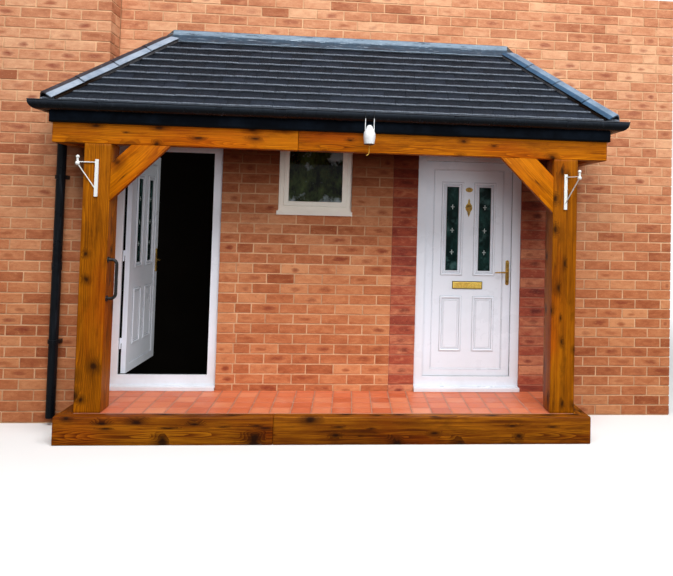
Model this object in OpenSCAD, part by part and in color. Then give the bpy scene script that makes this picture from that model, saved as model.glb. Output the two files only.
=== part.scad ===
// Hipped lean-to entrance porch on timber posts, with the stretch of house wall that carries it.
// X runs along the wall, +Y into the house, Z up. The origin is under the middle of the deck.

/* [Wall] */
// Height of the wall panel above the ground
wall_h = 3630; // [3250:5:3800]
// Thickness of the cavity wall
wall_t = 270; // [250:5:350]
// Length of wall either side of the centre line
wall_half = 2900; // [2250:5:3000]
// Distance from the centre line to the bay that steps forward on the left
bay_x = 1830; // [1826:1:1900]
// Distance the left bay stands forward of the main wall
bay_d = 225; // [150:5:300]

/* [Deck] */
// Width of the deck over its side sleepers
deck_w = 3860; // [3700:10:4000]
// Projection of the deck from the wall
deck_proj = 760; // [700:10:900]
// Height of the deck above the ground
deck_h = 200; // [150:5:250]
// Thickness of the sleepers that edge the deck
sleeper_t = 100; // [80:5:120]
// Place of the butt joint in the front sleeper
sleeper_joint_x = -410; // [-900:10:900]
// Thickness of the quarry tiles
tile_t = 20; // [15:1:30]

/* [Timber frame] */
// Section of the square posts
post_w = 190; // [150:5:210]
// Clear width between the posts
post_gap = 3285; // [3200:5:3290]
// Distance of the post fronts behind the deck front
post_setback = 100; // [100:5:150]
// Height of the beam underside above the deck
headroom = 1930; // [1900:5:2000]
// Length of the front beam
beam_l = 4120; // [4060:5:4140]
// Height of the beams
beam_h = 200; // [180:5:220]
// Thickness of the beams
beam_t = 100; // [75:5:150]
// Place of the butt joint in the front beam
beam_joint_x = -305; // [-900:5:900]
// Width of the knee braces
brace_w = 195; // [150:5:220]
// Thickness of the knee braces
brace_t = 50; // [40:5:90]
// Reach of a knee brace along the beam and down the post
brace_leg = 414; // [350:2:450]
// Thickness of the ceiling boards
ceiling_t = 18; // [12:1:25]
// Height of the ceiling above the beam underside
ceiling_rise = 160; // [155:5:165]
// Width of the rafters
rafter_w = 47; // [38:1:60]
// Depth of the rafters
rafter_d = 97; // [80:1:100]
// Number of common rafters in the front slope
rafter_count = 7; // [5:1:9]
// Depth of the wall plate
ledger_d = 150; // [120:5:180]

/* [Roof] */
// Pitch of the roof in degrees
pitch = 42.5; // [40:0.5:44]
// Thickness of the eaves boards
fascia_t = 20; // [16:1:30]
// Height of the eaves boards
fascia_h = 150; // [120:5:175]
// Distance that the eaves boards lap down over the beams
fascia_lap = 55; // [40:5:80]
// Thickness of tiles, battens and felt together
roof_t = 45; // [35:1:60]
// Overhang of the tile noses beyond the eaves boards
tile_overhang = 50; // [40:1:60]
// Exposed height of one course of tiles
gauge = 100; // [90:2:120]
// Thickness of a roof tile at its nose
tile_nose = 12; // [8:1:16]
// Outer radius of the hip tiles
hip_r = 112; // [100:1:125]
// Wall thickness of the hip tiles
hip_t = 13; // [10:1:16]
// Half of the angle that a hip tile spans
hip_angle = 62; // [50:1:70]
// Height of the mortar that beds the hip tiles
hip_bed = 12; // [8:1:40]
// Width of the mortar bed under each edge
hip_bed_w = 30; // [20:1:40]
// Number of hip tiles on each hip
hip_count = 4; // [3:1:6]
// Joint between hip tiles
hip_joint = 4; // [2:0.5:8]
// Distance of the hips' lower ends above the corner of the eaves
hip_start = 32; // [28:1:60]
// Thickness of the lead
lead_t = 4; // [3:0.5:6]
// Height of the lead up the wall
lead_up = 46; // [30:1:80]
// Width of the lead down the tiles
lead_down = 100; // [70:5:150]

/* [Rainwater] */
// Outside radius of the half-round gutter
gutter_r = 54; // [50:1:60]
// Wall thickness of the gutter
gutter_t = 4; // [3:0.5:6]
// Depth of the straight sides above the half round
gutter_side = 14; // [8:1:20]
// Drop of the gutter rim below the top of the eaves board
gutter_drop = 4; // [2:1:12]
// Outside radius of the downpipe
pipe_r = 34; // [30:1:40]
// Wall thickness of the downpipe
pipe_t = 3; // [2:0.5:5]
// Clear gap between downpipe and wall
pipe_gap = 25; // [20:1:40]
// Height of the downpipe shoe above the ground
pipe_foot = 60; // [40:5:120]
// Height of a pipe clip
clip_h = 30; // [20:1:40]
// Thickness of the strap of a pipe clip
clip_t = 5; // [3:0.5:8]
// Width of the back of a pipe clip
clip_w = 90; // [80:2:110]
// Height of the lower pipe clip above the ground
clip_low = 620; // [300:10:900]
// Height of the upper pipe clip above the ground
clip_high = 1880; // [1500:10:2100]

/* [Doors] */
// Width of the left door frame
left_w = 865; // [800:5:880]
// Width of the right door frame
right_w = 900; // [860:5:940]
// Left edge of the right door frame
right_x = 667; // [650:1:700]
// Height of both door frames above the deck
door_h = 2020; // [1990:5:2060]
// Depth of the door frames
frame_d = 70; // [60:1:80]
// Width of the frame members
frame_w = 60; // [50:1:70]
// Height of the threshold member
threshold_h = 100; // [60:1:120]
// Distance of the frames behind the wall face
recess = 40; // [30:1:60]
// Clearance round a closed leaf
leaf_gap = 6; // [5:0.5:8]
// Thickness of the stop lip on the frame
stop_t = 24; // [16:1:24]
// Width of the stop lip
stop_w = 14; // [10:1:20]
// Thickness of the door leaves
leaf_t = 40; // [36:1:44]
// Width of the leaf's upright and top members
stile_w = 76; // [70:1:100]
// Width of the leaf's bottom member
rail_w = 62; // [50:1:100]
// Depth of the infill panel below the stile face
panel_sink = 8; // [5:1:12]
// Height of the raised mouldings
bead_h = 6; // [3:1:8]
// Width of the raised mouldings
bead_w = 16; // [12:1:20]
// Width of one strip of door glass
strip_w = 105; // [90:1:120]
// Height of the door glass
strip_h = 720; // [650:5:760]
// Height of the glass above the leaf's bottom
strip_z = 903; // [860:1:960]
// Distance of the strips and panels from the leaf's middle
strip_x = 141; // [120:1:145]
// Margin of the raised moulding round the glass
strip_margin = 40; // [30:1:45]
// Height of the lower panels above the leaf's bottom
low_z = 218; // [190:1:300]
// Height of the lower panels
low_h = 465; // [400:5:480]
// Thickness of the glass units
glass_t = 24; // [20:1:24]
// Angle at which the left door stands open
left_open = 88; // [60:1:90]
// Radius of a hinge knuckle
knuckle_r = 7; // [6:0.5:8]
// Radius of a hinge pin
pin_r = 4; // [3:0.5:5]
// Radial clearance of a hinge pin in its knuckle
pin_fit = 0.3; // [0.2:0.05:0.5]
// Height of one half of a hinge
hinge_h = 44; // [36:1:55]
// Width of a hinge flag
flag_w = 38; // [30:1:42]
// Thickness of a hinge flag
flag_t = 7; // [6.5:0.5:8]
// Distance of the hinge pins inside the leaf's inner face
hinge_out = 11; // [10.5:0.5:13]
// Distance of the outer hinges from the ends of the leaf
hinge_end = 200; // [150:10:300]
// Projection of the door sills from the frames
sill_out = 75; // [60:5:90]
// Height of the nose of the door sills
sill_h = 34; // [25:1:45]
// Thickness of the sill plates
sill_t = 16; // [10:1:20]

/* [Door furniture] */
// Height of the handle spindle above the leaf's bottom
handle_z = 893; // [850:1:960]
// Height of a handle backplate
plate_h = 215; // [180:5:240]
// Width of a handle backplate
plate_w = 30; // [26:1:36]
// Thickness of a handle backplate
plate_t = 9; // [6:1:12]
// Length of a lever
lever_l = 115; // [90:1:130]
// Width of the letter plate
letter_w = 262; // [220:2:280]
// Height of the letter plate
letter_h = 66; // [50:2:80]
// Height of the letter plate's middle above the leaf's bottom
letter_z = 780; // [740:2:830]
// Thickness of the letter plate
letter_t = 6; // [4:0.5:8]
// Margin of the letter plate round its flap
letter_margin = 14; // [10:1:18]
// Height of the knocker's middle above the leaf's bottom
knocker_z = 1446; // [1400:2:1500]
// Height of the knocker's backplate
knocker_h = 160; // [140:2:180]
// Width of the knocker's backplate
knocker_w = 60; // [50:1:70]
// Projection of the knocker from the panel
knocker_out = 27; // [22:1:34]

/* [Window] */
// Left edge of the window opening
win_x = -505; // [-600:5:-400]
// Width of the window
win_w = 610; // [500:5:700]
// Height of the window head above the deck
win_top = 2080; // [2040:5:2085]
// Height of the window
win_h = 596; // [400:2:600]
// Width of the window frame members
win_frame = 42; // [35:1:50]
// Width of the sash members
sash_w = 40; // [36:1:55]
// Step of the sash face ahead of the frame
sash_step = 8; // [4:1:12]
// Height of the window sill nose
win_sill_h = 34; // [25:1:45]
// Projection of the window sill beyond the wall
win_sill_out = 32; // [20:1:60]
// Length of the sill's horns beyond the opening
win_horn = 8; // [5:1:45]

/* [Infill brickwork] */
// Width of each pier of infill beside the right door
infill_w = 215; // [200:5:230]
// Set-back of the infill from the wall face
infill_set = 8; // [2:1:20]

/* [Fittings] */
// Height of the basket brackets above the deck
bracket_z = 1545; // [1400:5:1600]
// Height of a basket bracket
bracket_h = 270; // [220:5:320]
// Distance of the brackets outside the inner faces of the posts
bracket_in = 94; // [50:1:140]
// Reach of a basket bracket
bracket_reach = 135; // [110:5:180]
// Width of a bracket's plate
bracket_w = 24; // [18:1:30]
// Thickness of a bracket's plate
bracket_t = 10; // [6:1:12]
// Thickness of a bracket's arm and stay
bracket_bar = 6; // [6:0.5:9]
// Angle that the right bracket's arm has swung forward
bracket_turn = 60; // [0:5:60]
// Drop of the bracket's arm below the top of the plate
arm_drop = 24; // [20:1:30]
// Height of the stay's foot above the bottom of the plate
stay_foot = 50; // [35:1:70]
// Radius of the bulb at the bracket's tip
bulb_r = 16; // [12:0.5:18]
// Height of the grab handle above the deck
grab_z = 812; // [700:2:900]
// Length of the grab handle
grab_l = 280; // [260:5:360]
// Radius of the grab handle bar
grab_r = 11; // [7:0.5:12]
// Clear gap between the grab handle and the post
grab_gap = 52; // [36:1:60]
// Radius of the bends of the grab handle
grab_bend = 35; // [25:1:45]
// Distance of the grab handle behind the post's front face
grab_set = 30; // [25:1:160]
// Place of the basket hanger along the gutter
hanger_x = 219; // [-800:1:800]
// Drop of the housing's top below the gutter rim
housing_drop = 100; // [80:5:130]
// Distance of each rod from the hanger's middle
hanger_rod_x = 32; // [24:1:34]
// Length of the rods' hooks over the gutter rim
hanger_hook = 18; // [10:1:30]
// Radius of the rods
hanger_rod_r = 3; // [2:0.25:4]
// Largest radius of the hanger's housing
housing_r = 44; // [38:1:48]
// Height of the hanger's housing
housing_h = 147; // [130:1:160]
// Length of the hook rod below the housing
hook_l = 55; // [50:5:120]
// Radius of the hook's bend
hook_bend = 20; // [15:1:30]

/* [Hidden] */
$fn = 48;

brick = "#b8663f";
red_brick = "#a4492f";
timber = "#a8641e";
dark_timber = "#7d4312";
white = "#eef1f2";
glass_blue = "#2b3a3c";
brass = "#c9a24a";
black = "#20242a";
slate = "#3a3d43";
lead = "#6b8294";
terracotta = "#c96b4a";

big = 5000;
seat = 0.3;
joint = 1;
spigot_l = 40;

// Planes across the porch
wall_y = deck_proj / 2;
front_y = -deck_proj / 2;
bay_y = wall_y - bay_d;
post_y = front_y + post_setback;
deck_half = deck_w / 2;
post_in = post_gap / 2;
post_out = post_in + post_w;
beam_half = beam_l / 2;

// Heights
beam_z = deck_h + headroom;
beam_top = beam_z + beam_h;
fascia_z = beam_top - fascia_lap;
fascia_top = fascia_z + fascia_h;
door_top = deck_h + door_h;
ceiling_z = beam_z + ceiling_rise;

// Eaves lines and roof planes
fascia_half = beam_half + fascia_t;
fascia_y = post_y - fascia_t;
eave_half = fascia_half + tile_overhang;
eave_y = fascia_y - tile_overhang;
roof_run = wall_y - eave_y;
nose_z = fascia_top + roof_t * cos(pitch) - (tile_overhang - roof_t * sin(pitch)) * tan(pitch);
hip_pitch = atan(tan(pitch) / sqrt(2));
hip_fall = atan((sin(pitch) / sqrt(2)) / (sin(pitch) * sin(hip_pitch) / sqrt(2) + cos(pitch) * cos(hip_pitch)));
slope_l = roof_run / cos(pitch);
lead_plan = lead_down * cos(pitch);
hip_top_x = eave_half - roof_run;
function under_z(y) = fascia_top + (y - fascia_y) * tan(pitch) - seat;
function top_z(y) = nose_z + (y - eave_y) * tan(pitch);

// Rainwater goods
gutter_reach = 2 * gutter_r + 20;
gutter_base = fascia_top - gutter_drop - gutter_side - gutter_r;
pipe_x = -fascia_half - gutter_r;
pipe_y = bay_y - pipe_gap - pipe_r;

// Doors
frame_y = wall_y + recess;
left_x = -bay_x;
leaf_y = frame_y + frame_d - leaf_t;
leaf_z = deck_h + threshold_h + leaf_gap;
leaf_h = door_h - threshold_h - frame_w - 2 * leaf_gap;
leaf_inset = frame_w + leaf_gap;
hinge_heights = [hinge_end, leaf_h / 2, leaf_h - hinge_end - 2 * hinge_h];
flag_side = 2;
infill_left_x = right_x - infill_w;
infill_right_x = right_x + right_w;
infill_end_x = infill_right_x + infill_w;
win_z = deck_h + win_top - win_h;

// Block between two corners
module block(a, b) {
    translate(a) cube(b - a);
}

// Masonry

// The bay is an L in plan: its front wall, and the cross wall that the left door opens against
module bay_wall() {
    color(brick) {
        linear_extrude(wall_h) polygon([
            [-wall_half, bay_y], [-bay_x, bay_y], [-bay_x, wall_y + wall_t],
            [-bay_x - wall_t, wall_y + wall_t], [-bay_x - wall_t, bay_y + wall_t], [-wall_half, bay_y + wall_t]
        ]);
    }
}

module wall_middle() {
    color(brick) difference() {
        block([left_x + left_w, wall_y, 0], [infill_left_x, wall_y + wall_t, wall_h]);
        block([win_x, wall_y - 1, win_z], [win_x + win_w, wall_y + wall_t + 1, win_z + win_h]);
    }
}

module wall_right() {
    color(brick) block([infill_end_x, wall_y, 0], [wall_half, wall_y + wall_t, wall_h]);
}

// The one over the right door bears on the infill piers
module walls_over_doors() {
    color(brick) {
        block([left_x, wall_y, door_top], [left_x + left_w, wall_y + wall_t, wall_h]);
        block([infill_left_x, wall_y, door_top], [infill_end_x, wall_y + wall_t, wall_h]);
    }
}

module infill_piers() {
    color(red_brick) for (x = [infill_left_x, infill_right_x])
        block([x, wall_y + infill_set, 0], [x + infill_w, wall_y + wall_t, door_top]);
}

module threshold_blocks() {
    color(brick) for (d = [[left_x, left_w], [right_x, right_w]])
        block([d[0], wall_y, 0], [d[0] + d[1], wall_y + wall_t, deck_h]);
}

// Doors: each is drawn with its frame's lower left corner on the deck at x = 0 and its frame's face at y = 0

module door_frame(w) {
    translate([frame_w + leaf_gap / 2, frame_d + hinge_out, threshold_h + leaf_gap])
        for (z = hinge_heights) translate([0, 0, z]) {
            cylinder(r = knuckle_r, h = hinge_h);
            cylinder(r = pin_r, h = 2 * hinge_h);
            translate([-flag_w, -hinge_out, 0]) cube([flag_w - flag_side, flag_t, hinge_h]);
        }
    difference() {
        cube([w, frame_d, door_h]);
        translate([frame_w, stop_t, threshold_h]) cube([w - 2 * frame_w, frame_d, door_h - threshold_h - frame_w]);
        translate([frame_w + stop_w, -1, threshold_h + stop_w])
            cube([w - 2 * (frame_w + stop_w), frame_d, door_h - threshold_h - frame_w - 2 * stop_w]);
    }
}

// Raised rectangular moulding standing on the panel, with its outside size
module moulding(x, z, w, h, face) {
    translate([x, 0, z]) difference() {
        translate([0, face - bead_h, 0]) cube([w, bead_h, h]);
        translate([bead_w, face - bead_h - 1, bead_w]) cube([w - 2 * bead_w, bead_h + 2, h - 2 * bead_w]);
    }
}

// Rings round the glass strips above and plain panels below, on one face of a leaf
module leaf_mouldings(mid, ring_w) {
    for (s = [-1, 1]) {
        x = mid + s * strip_x - ring_w / 2;
        moulding(x, strip_z - strip_margin, ring_w, strip_h + 2 * strip_margin, panel_sink);
        moulding(x, low_z, ring_w, low_h, panel_sink);
    }
}

// Upper halves of the hinges, which turn on the frame's pins
module leaf_hinges() {
    translate([-leaf_gap / 2, leaf_t + hinge_out, hinge_h + 1]) for (z = hinge_heights) translate([0, 0, z]) {
        difference() {
            union() {
                cylinder(r = knuckle_r, h = hinge_h);
                translate([flag_side, -hinge_out, 0]) cube([flag_w - flag_side, flag_t, hinge_h]);
            }
            translate([0, 0, -1]) cylinder(r = pin_r + pin_fit, h = hinge_h + 2);
        }
    }
}

// Leaf with its lower hinge corner at the origin, its outer face towards -Y
module door_leaf(w) {
    mid = w / 2;
    ring_w = strip_w + 2 * strip_margin;
    leaf_hinges();
    difference() {
        union() {
            difference() {
                cube([w, leaf_t, leaf_h]);
                for (y = [-1, leaf_t - panel_sink]) translate([stile_w, y, rail_w])
                    cube([w - 2 * stile_w, panel_sink + 1, leaf_h - rail_w - stile_w]);
            }
            leaf_mouldings(mid, ring_w);
            translate([0, leaf_t, 0]) mirror([0, 1, 0]) leaf_mouldings(mid, ring_w);
        }
        for (s = [-1, 1])
            translate([mid + s * strip_x - strip_w / 2, -1, strip_z]) cube([strip_w, leaf_t + 2, strip_h]);
    }
}

module leaf_glass(w) {
    for (s = [-1, 1])
        translate([w / 2 + s * strip_x - strip_w / 2, (leaf_t - glass_t) / 2 + 1, strip_z])
            cube([strip_w, glass_t - 2, strip_h]);
}

// Backplate with round ends and a lever that points towards the hinge
module handle_half(x) {
    r = plate_w / 2;
    boss = 14;
    stand = 34;
    translate([x, 0, handle_z]) {
        rotate([90, 0, 0]) linear_extrude(plate_t) {
            translate([-r, -plate_h / 2 + r]) square([plate_w, plate_h - plate_w]);
            translate([0, -plate_h / 2 + r]) circle(r);
            translate([0, plate_h / 2 - r]) circle(r);
        }
        rotate([90, 0, 0]) cylinder(r = boss / 2 + 2, h = stand);
        translate([-lever_l, -stand - boss / 2, -boss / 2]) cube([lever_l, boss, boss]);
        translate([0, -stand + boss / 2, 0]) rotate([90, 0, 0]) cylinder(r = boss / 2 + 2, h = boss);
    }
}

module handle_pair(w) {
    x = w - stile_w / 2;
    handle_half(x);
    translate([0, leaf_t, 0]) mirror([0, 1, 0]) handle_half(x);
}

// Places a closed leaf in its frame, then swings it about its hinge pins
module hang_left() {
    translate([left_x + leaf_inset - leaf_gap / 2, leaf_y + leaf_t + hinge_out, leaf_z])
        rotate([0, 0, left_open]) translate([leaf_gap / 2, -leaf_t - hinge_out, 0]) children();
}

module hang_right() {
    translate([right_x + leaf_inset, leaf_y, leaf_z]) children();
}

module left_door_frame() {
    color(white) translate([left_x, frame_y, deck_h]) door_frame(left_w);
}

module left_door_leaf() {
    color(white) hang_left() door_leaf(left_w - 2 * leaf_inset);
}

module left_door_glass() {
    color(glass_blue) hang_left() leaf_glass(left_w - 2 * leaf_inset);
}

module left_door_handles() {
    color(brass) hang_left() handle_pair(left_w - 2 * leaf_inset);
}

module right_door_frame() {
    color(white) translate([right_x, frame_y, deck_h]) door_frame(right_w);
}

module right_door_leaf() {
    color(white) hang_right() door_leaf(right_w - 2 * leaf_inset);
}

module right_door_glass() {
    color(glass_blue) hang_right() leaf_glass(right_w - 2 * leaf_inset);
}

module right_door_handles() {
    color(brass) hang_right() handle_pair(right_w - 2 * leaf_inset);
}

// Places a piece of furniture on the right leaf's panel, at the middle of the leaf
module on_right_panel(z) {
    hang_right() translate([right_w / 2 - leaf_inset, panel_sink, z]) children();
}

// Letter plate with its flap and the flap's hinge rod
module letter_plate() {
    rod = letter_t * 2 / 3;
    flap = [letter_w - 3 * letter_margin, rod, letter_h - 2 * letter_margin];
    color(brass) on_right_panel(letter_z) {
        translate([-letter_w / 2, -letter_t, -letter_h / 2]) cube([letter_w, letter_t, letter_h]);
        translate([-flap[0] / 2, -letter_t - rod, -flap[2] / 2]) cube(flap);
        translate([-flap[0] / 2, -letter_t - rod / 2, flap[2] / 2]) rotate([0, 90, 0]) cylinder(r = rod, h = flap[0]);
    }
}

// Half outline of the knocker's backplate, as shares of its half width and half height
KNOCKER_EDGE = [[0, 1], [0.24, 0.8], [0.3, 0.5], [0.86, 0.23], [1, 0], [0.86, -0.23], [0.33, -0.53], [0.3, -0.73], [0, -1]];

// Profile of the knocker's boss, as shares of the backplate's half width and of the projection
KNOCKER_BOSS = [[0, 0.15], [0.8, 0.15], [0.8, 0.3], [0.6, 0.52], [0.56, 0.74], [0.4, 0.92], [0, 1]];

// Urn knocker: turned boss on a spindle-shaped backplate, with the striker below on its arm
module door_knocker() {
    half_w = knocker_w / 2;
    half_h = knocker_h / 2;
    ball = half_w / 3;
    color(brass) on_right_panel(knocker_z) rotate([90, 0, 0]) {
        linear_extrude(knocker_out / 5) for (s = [-1, 1])
            polygon([for (p = KNOCKER_EDGE) [s * p[0] * half_w, p[1] * half_h]]);
        rotate_extrude() polygon([for (p = KNOCKER_BOSS) [p[0] * half_w, p[1] * knocker_out]]);
        translate([0, -half_h * 0.55, knocker_out / 6]) cylinder(r = ball, h = knocker_out * 0.6);
        translate([-ball / 2, -half_h * 0.55, knocker_out / 2]) cube([ball, half_h / 2, knocker_out / 5]);
    }
}

module sill_piece(w) {
    translate([0, -sill_out, 0]) cube([w, sill_t, sill_h]);
    translate([0, -sill_out, sill_h - sill_t]) cube([w, sill_out, sill_t]);
}

module door_sills() {
    color(white) for (d = [[left_x, left_w], [right_x, right_w]])
        translate([d[0], frame_y, deck_h]) sill_piece(d[1]);
}

// Window

module window_frame() {
    color(white) difference() {
        block([win_x, frame_y, win_z], [win_x + win_w, frame_y + frame_d, win_z + win_h]);
        block([win_x + win_frame, frame_y - 1, win_z + win_frame],
            [win_x + win_w - win_frame, frame_y + frame_d + 1, win_z + win_h - win_frame]);
    }
}

module window_sash() {
    inset = win_frame + sash_w;
    color(white) difference() {
        block([win_x + win_frame, frame_y - sash_step, win_z + win_frame],
            [win_x + win_w - win_frame, frame_y + frame_d - 10, win_z + win_h - win_frame]);
        block([win_x + inset, frame_y - sash_step - 1, win_z + inset],
            [win_x + win_w - inset, frame_y + frame_d + 1, win_z + win_h - inset]);
    }
}

module window_glass() {
    inset = win_frame + sash_w;
    color(glass_blue) block([win_x + inset, frame_y + 20, win_z + inset],
        [win_x + win_w - inset, frame_y + 20 + glass_t, win_z + win_h - inset]);
}

module window_sill() {
    color(white) {
        block([win_x - win_horn, wall_y - win_sill_out, win_z - win_sill_h], [win_x + win_w + win_horn, wall_y, win_z]);
        block([win_x, wall_y - 1, win_z], [win_x + win_w, frame_y, win_z + sash_step]);
    }
}

// Deck

// Two lengths with a butt joint
module front_sleepers() {
    color(dark_timber) {
        block([-deck_half, front_y, 0], [sleeper_joint_x - joint, front_y + sleeper_t, deck_h]);
        block([sleeper_joint_x + joint, front_y, 0], [deck_half, front_y + sleeper_t, deck_h]);
    }
}

// The left one stops at the bay, the right one at the main wall
module side_sleepers() {
    color(dark_timber) {
        block([-deck_half, front_y + sleeper_t, 0], [-deck_half + sleeper_t, bay_y, deck_h]);
        block([deck_half - sleeper_t, front_y + sleeper_t, 0], [deck_half, wall_y, deck_h]);
    }
}

module deck_plan() {
    polygon([
        [-deck_half + sleeper_t, front_y + sleeper_t], [deck_half - sleeper_t, front_y + sleeper_t],
        [deck_half - sleeper_t, wall_y], [-bay_x, wall_y], [-bay_x, bay_y], [-deck_half + sleeper_t, bay_y]
    ]);
}

module deck_bed() {
    color("#8f8a84") linear_extrude(deck_h - tile_t) deck_plan();
}

module deck_tiles() {
    color(terracotta) translate([0, 0, deck_h - tile_t]) linear_extrude(tile_t) deck_plan();
}

// Timber frame

module post(side) {
    x = side > 0 ? post_in : -post_out;
    color(timber) block([x, post_y, deck_h], [x + post_w, post_y + post_w, beam_z]);
}

module post_left() {
    post(-1);
}

module post_right() {
    post(1);
}

// Two lengths with a butt joint
module front_beams() {
    color(timber) {
        block([-beam_half, post_y, beam_z], [beam_joint_x - joint, post_y + beam_t, beam_top]);
        block([beam_joint_x + joint, post_y, beam_z], [beam_half, post_y + beam_t, beam_top]);
    }
}

module side_beams() {
    color(timber) {
        block([-beam_half, post_y + beam_t, beam_z], [-beam_half + beam_t, bay_y, beam_top]);
        block([beam_half - beam_t, post_y + beam_t, beam_z], [beam_half, wall_y, beam_top]);
    }
}

// Straight board at 45 degrees, its two ends cut to the post and the beam
module brace() {
    short_leg = brace_leg - brace_w * sqrt(2);
    translate([post_in, post_y + brace_t, beam_z]) rotate([90, 0, 0]) linear_extrude(brace_t)
        polygon([[0, -brace_leg], [0, -short_leg], [-short_leg, 0], [-brace_leg, 0]]);
}

module knee_braces() {
    color(timber) {
        brace();
        mirror([1, 0, 0]) brace();
    }
}

module ceiling() {
    half = beam_half - beam_t;
    color(timber) difference() {
        block([-half, post_y + beam_t, ceiling_z], [half, wall_y, ceiling_z + ceiling_t]);
        block([-half - 1, bay_y, ceiling_z - 1], [-bay_x, wall_y + 1, ceiling_z + ceiling_t + 1]);
    }
}

// Ledger bolted to the wall, its top under the tile layer
module wall_plate() {
    half = hip_top_x + rafter_w / 2;
    top = under_z(wall_y - rafter_w);
    color(timber) block([-half, wall_y - rafter_w, top - ledger_d], [half, wall_y, top]);
}

// Common rafters of the front slope and a hip rafter at each end, notched over the beams
module rafters() {
    pace = 2 * hip_top_x / (rafter_count - 1);
    drop = rafter_d / cos(pitch);
    back = wall_y - rafter_w;
    color(timber) difference() {
        union() {
            for (i = [0 : rafter_count - 1]) translate([-hip_top_x + i * pace - rafter_w / 2, 0, 0])
                rotate([90, 0, 90]) linear_extrude(rafter_w) polygon([
                    [post_y, under_z(post_y) - drop], [back, under_z(back) - drop],
                    [back, under_z(back)], [post_y, under_z(post_y)]
                ]);
            for (s = [-1, 1]) hip_rafter(s);
        }
        block([-beam_half - 1, post_y - 1, beam_z], [beam_half + 1, post_y + beam_t, beam_top]);
    }
}

// s is -1 for the left hip and 1 for the right. It runs from the eaves boards to the last common rafter.
module hip_rafter(s) {
    top = -roof_t / cos(pitch) * cos(hip_pitch) - rafter_w / 2 * tan(hip_fall) - seat;
    inner_x = hip_top_x + rafter_w / 2 + seat;
    intersection() {
        mirror([s > 0 ? 1 : 0, 0, 0]) on_hip() translate([0, -rafter_w / 2, top - rafter_d])
            cube([big, rafter_w, rafter_d]);
        difference() {
            block([s < 0 ? -beam_half : inner_x, post_y, 0], [s < 0 ? -inner_x : beam_half, wall_y, big]);
            block([s * beam_half - (s > 0 ? beam_t : 0), post_y, 0],
                [s * beam_half + (s > 0 ? 0 : beam_t), wall_y, beam_top]);
        }
    }
}

// Eaves boards on three sides, mitred into one another
module fascia() {
    color(black) difference() {
        block([-fascia_half, fascia_y, fascia_z], [fascia_half, wall_y, fascia_top]);
        block([-beam_half, post_y, fascia_z - 1], [beam_half, wall_y + 1, fascia_top + 1]);
        block([-fascia_half - 1, bay_y, fascia_z - 1], [-bay_x, wall_y + 1, fascia_top + 1]);
    }
}

// Roof

// Stepped section of one slope: x runs up the slope, y stands out from it
function course_points() = [
    for (i = [0 : ceil(slope_l / gauge)]) each [
        [i * gauge, i == 0 ? 0 : roof_t - tile_nose], [i * gauge, roof_t]
    ]
];

// A slope that faces -Y, with its tile noses along y = -eave, wide enough for any cut
module slope_stock(eave) {
    start = eave - roof_t * sin(pitch);
    count = ceil(slope_l / gauge);
    translate([-big / 2, -start, nose_z - roof_t * cos(pitch)]) rotate([pitch, 0, 0]) rotate([90, 0, 90])
        linear_extrude(big) polygon(concat(course_points(), [
            [(count + 1) * gauge, roof_t - tile_nose], [(count + 1) * gauge, 0]
        ]));
}

module roof_cut(points) {
    translate([0, 0, fascia_z]) linear_extrude(wall_h) polygon(points);
}

module bay_stock() {
    block([-big, bay_y, 0], [-bay_x, big, big]);
}

// The lines of the hips, run out past the eaves by the same amount both ways
module roof_front() {
    outer = eave_half + roof_t;
    color(slate) intersection() {
        slope_stock(-eave_y);
        roof_cut([[-outer, eave_y - roof_t], [outer, eave_y - roof_t],
            [hip_top_x, wall_y], [-hip_top_x, wall_y]]);
    }
}

module roof_side() {
    outer = eave_half + roof_t;
    intersection() {
        rotate([0, 0, 90]) slope_stock(eave_half);
        roof_cut([[outer, eave_y - roof_t], [outer, wall_y], [hip_top_x, wall_y]]);
    }
}

module roof_sides() {
    color(slate) {
        roof_side();
        difference() {
            mirror([1, 0, 0]) roof_side();
            bay_stock();
        }
    }
}

// Frame of one hip: its corner at the eaves, +X up the hip and Y across it
module on_hip() {
    translate([-eave_half, eave_y, nose_z]) rotate([0, 0, 45]) rotate([0, -hip_pitch, 0]) children();
}

// Round-topped tiles, each edge bedded on mortar that bears on the tile noses of both slopes
module one_hip() {
    inner = hip_r - hip_t;
    edge = inner * sin(hip_angle);
    centre = hip_bed - edge * tan(hip_fall) - inner * cos(hip_angle);
    length = roof_run * sqrt(2) / cos(hip_pitch);
    piece = length / hip_count;
    reach = 2 * hip_r;
    on_hip() for (i = [0 : hip_count - 1]) {
        from = max(i * piece, hip_start);
        translate([from, 0, centre]) rotate([90, 0, 90])
            linear_extrude((i + 1) * piece - hip_joint - from) intersection() {
                difference() {
                    circle(hip_r, $fn = 96);
                    circle(inner, $fn = 96);
                }
                polygon([[0, 0], [reach * sin(hip_angle), reach * cos(hip_angle)], [0, 2 * reach],
                    [-reach * sin(hip_angle), reach * cos(hip_angle)]]);
            }
    }
    intersection() {
        on_hip() for (s = [-1, 1]) rotate([90, 0, 90]) linear_extrude(length) polygon([
            [s * edge, -edge * tan(hip_fall) + seat], [s * edge, hip_bed - edge * tan(hip_fall)],
            [s * (edge - hip_bed_w), hip_bed - (edge - hip_bed_w) * tan(hip_fall)],
            [s * (edge - hip_bed_w), -(edge - hip_bed_w) * tan(hip_fall) + seat]
        ]);
        block([-eave_half, eave_y, 0], [0, big, big]);
    }
}

// The hips stop at the lead
module hip_tiles() {
    color(lead) intersection() {
        union() {
            one_hip();
            mirror([1, 0, 0]) one_hip();
        }
        block([-big, -big, 0], [big, wall_y - lead_plan, big]);
    }
}

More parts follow.
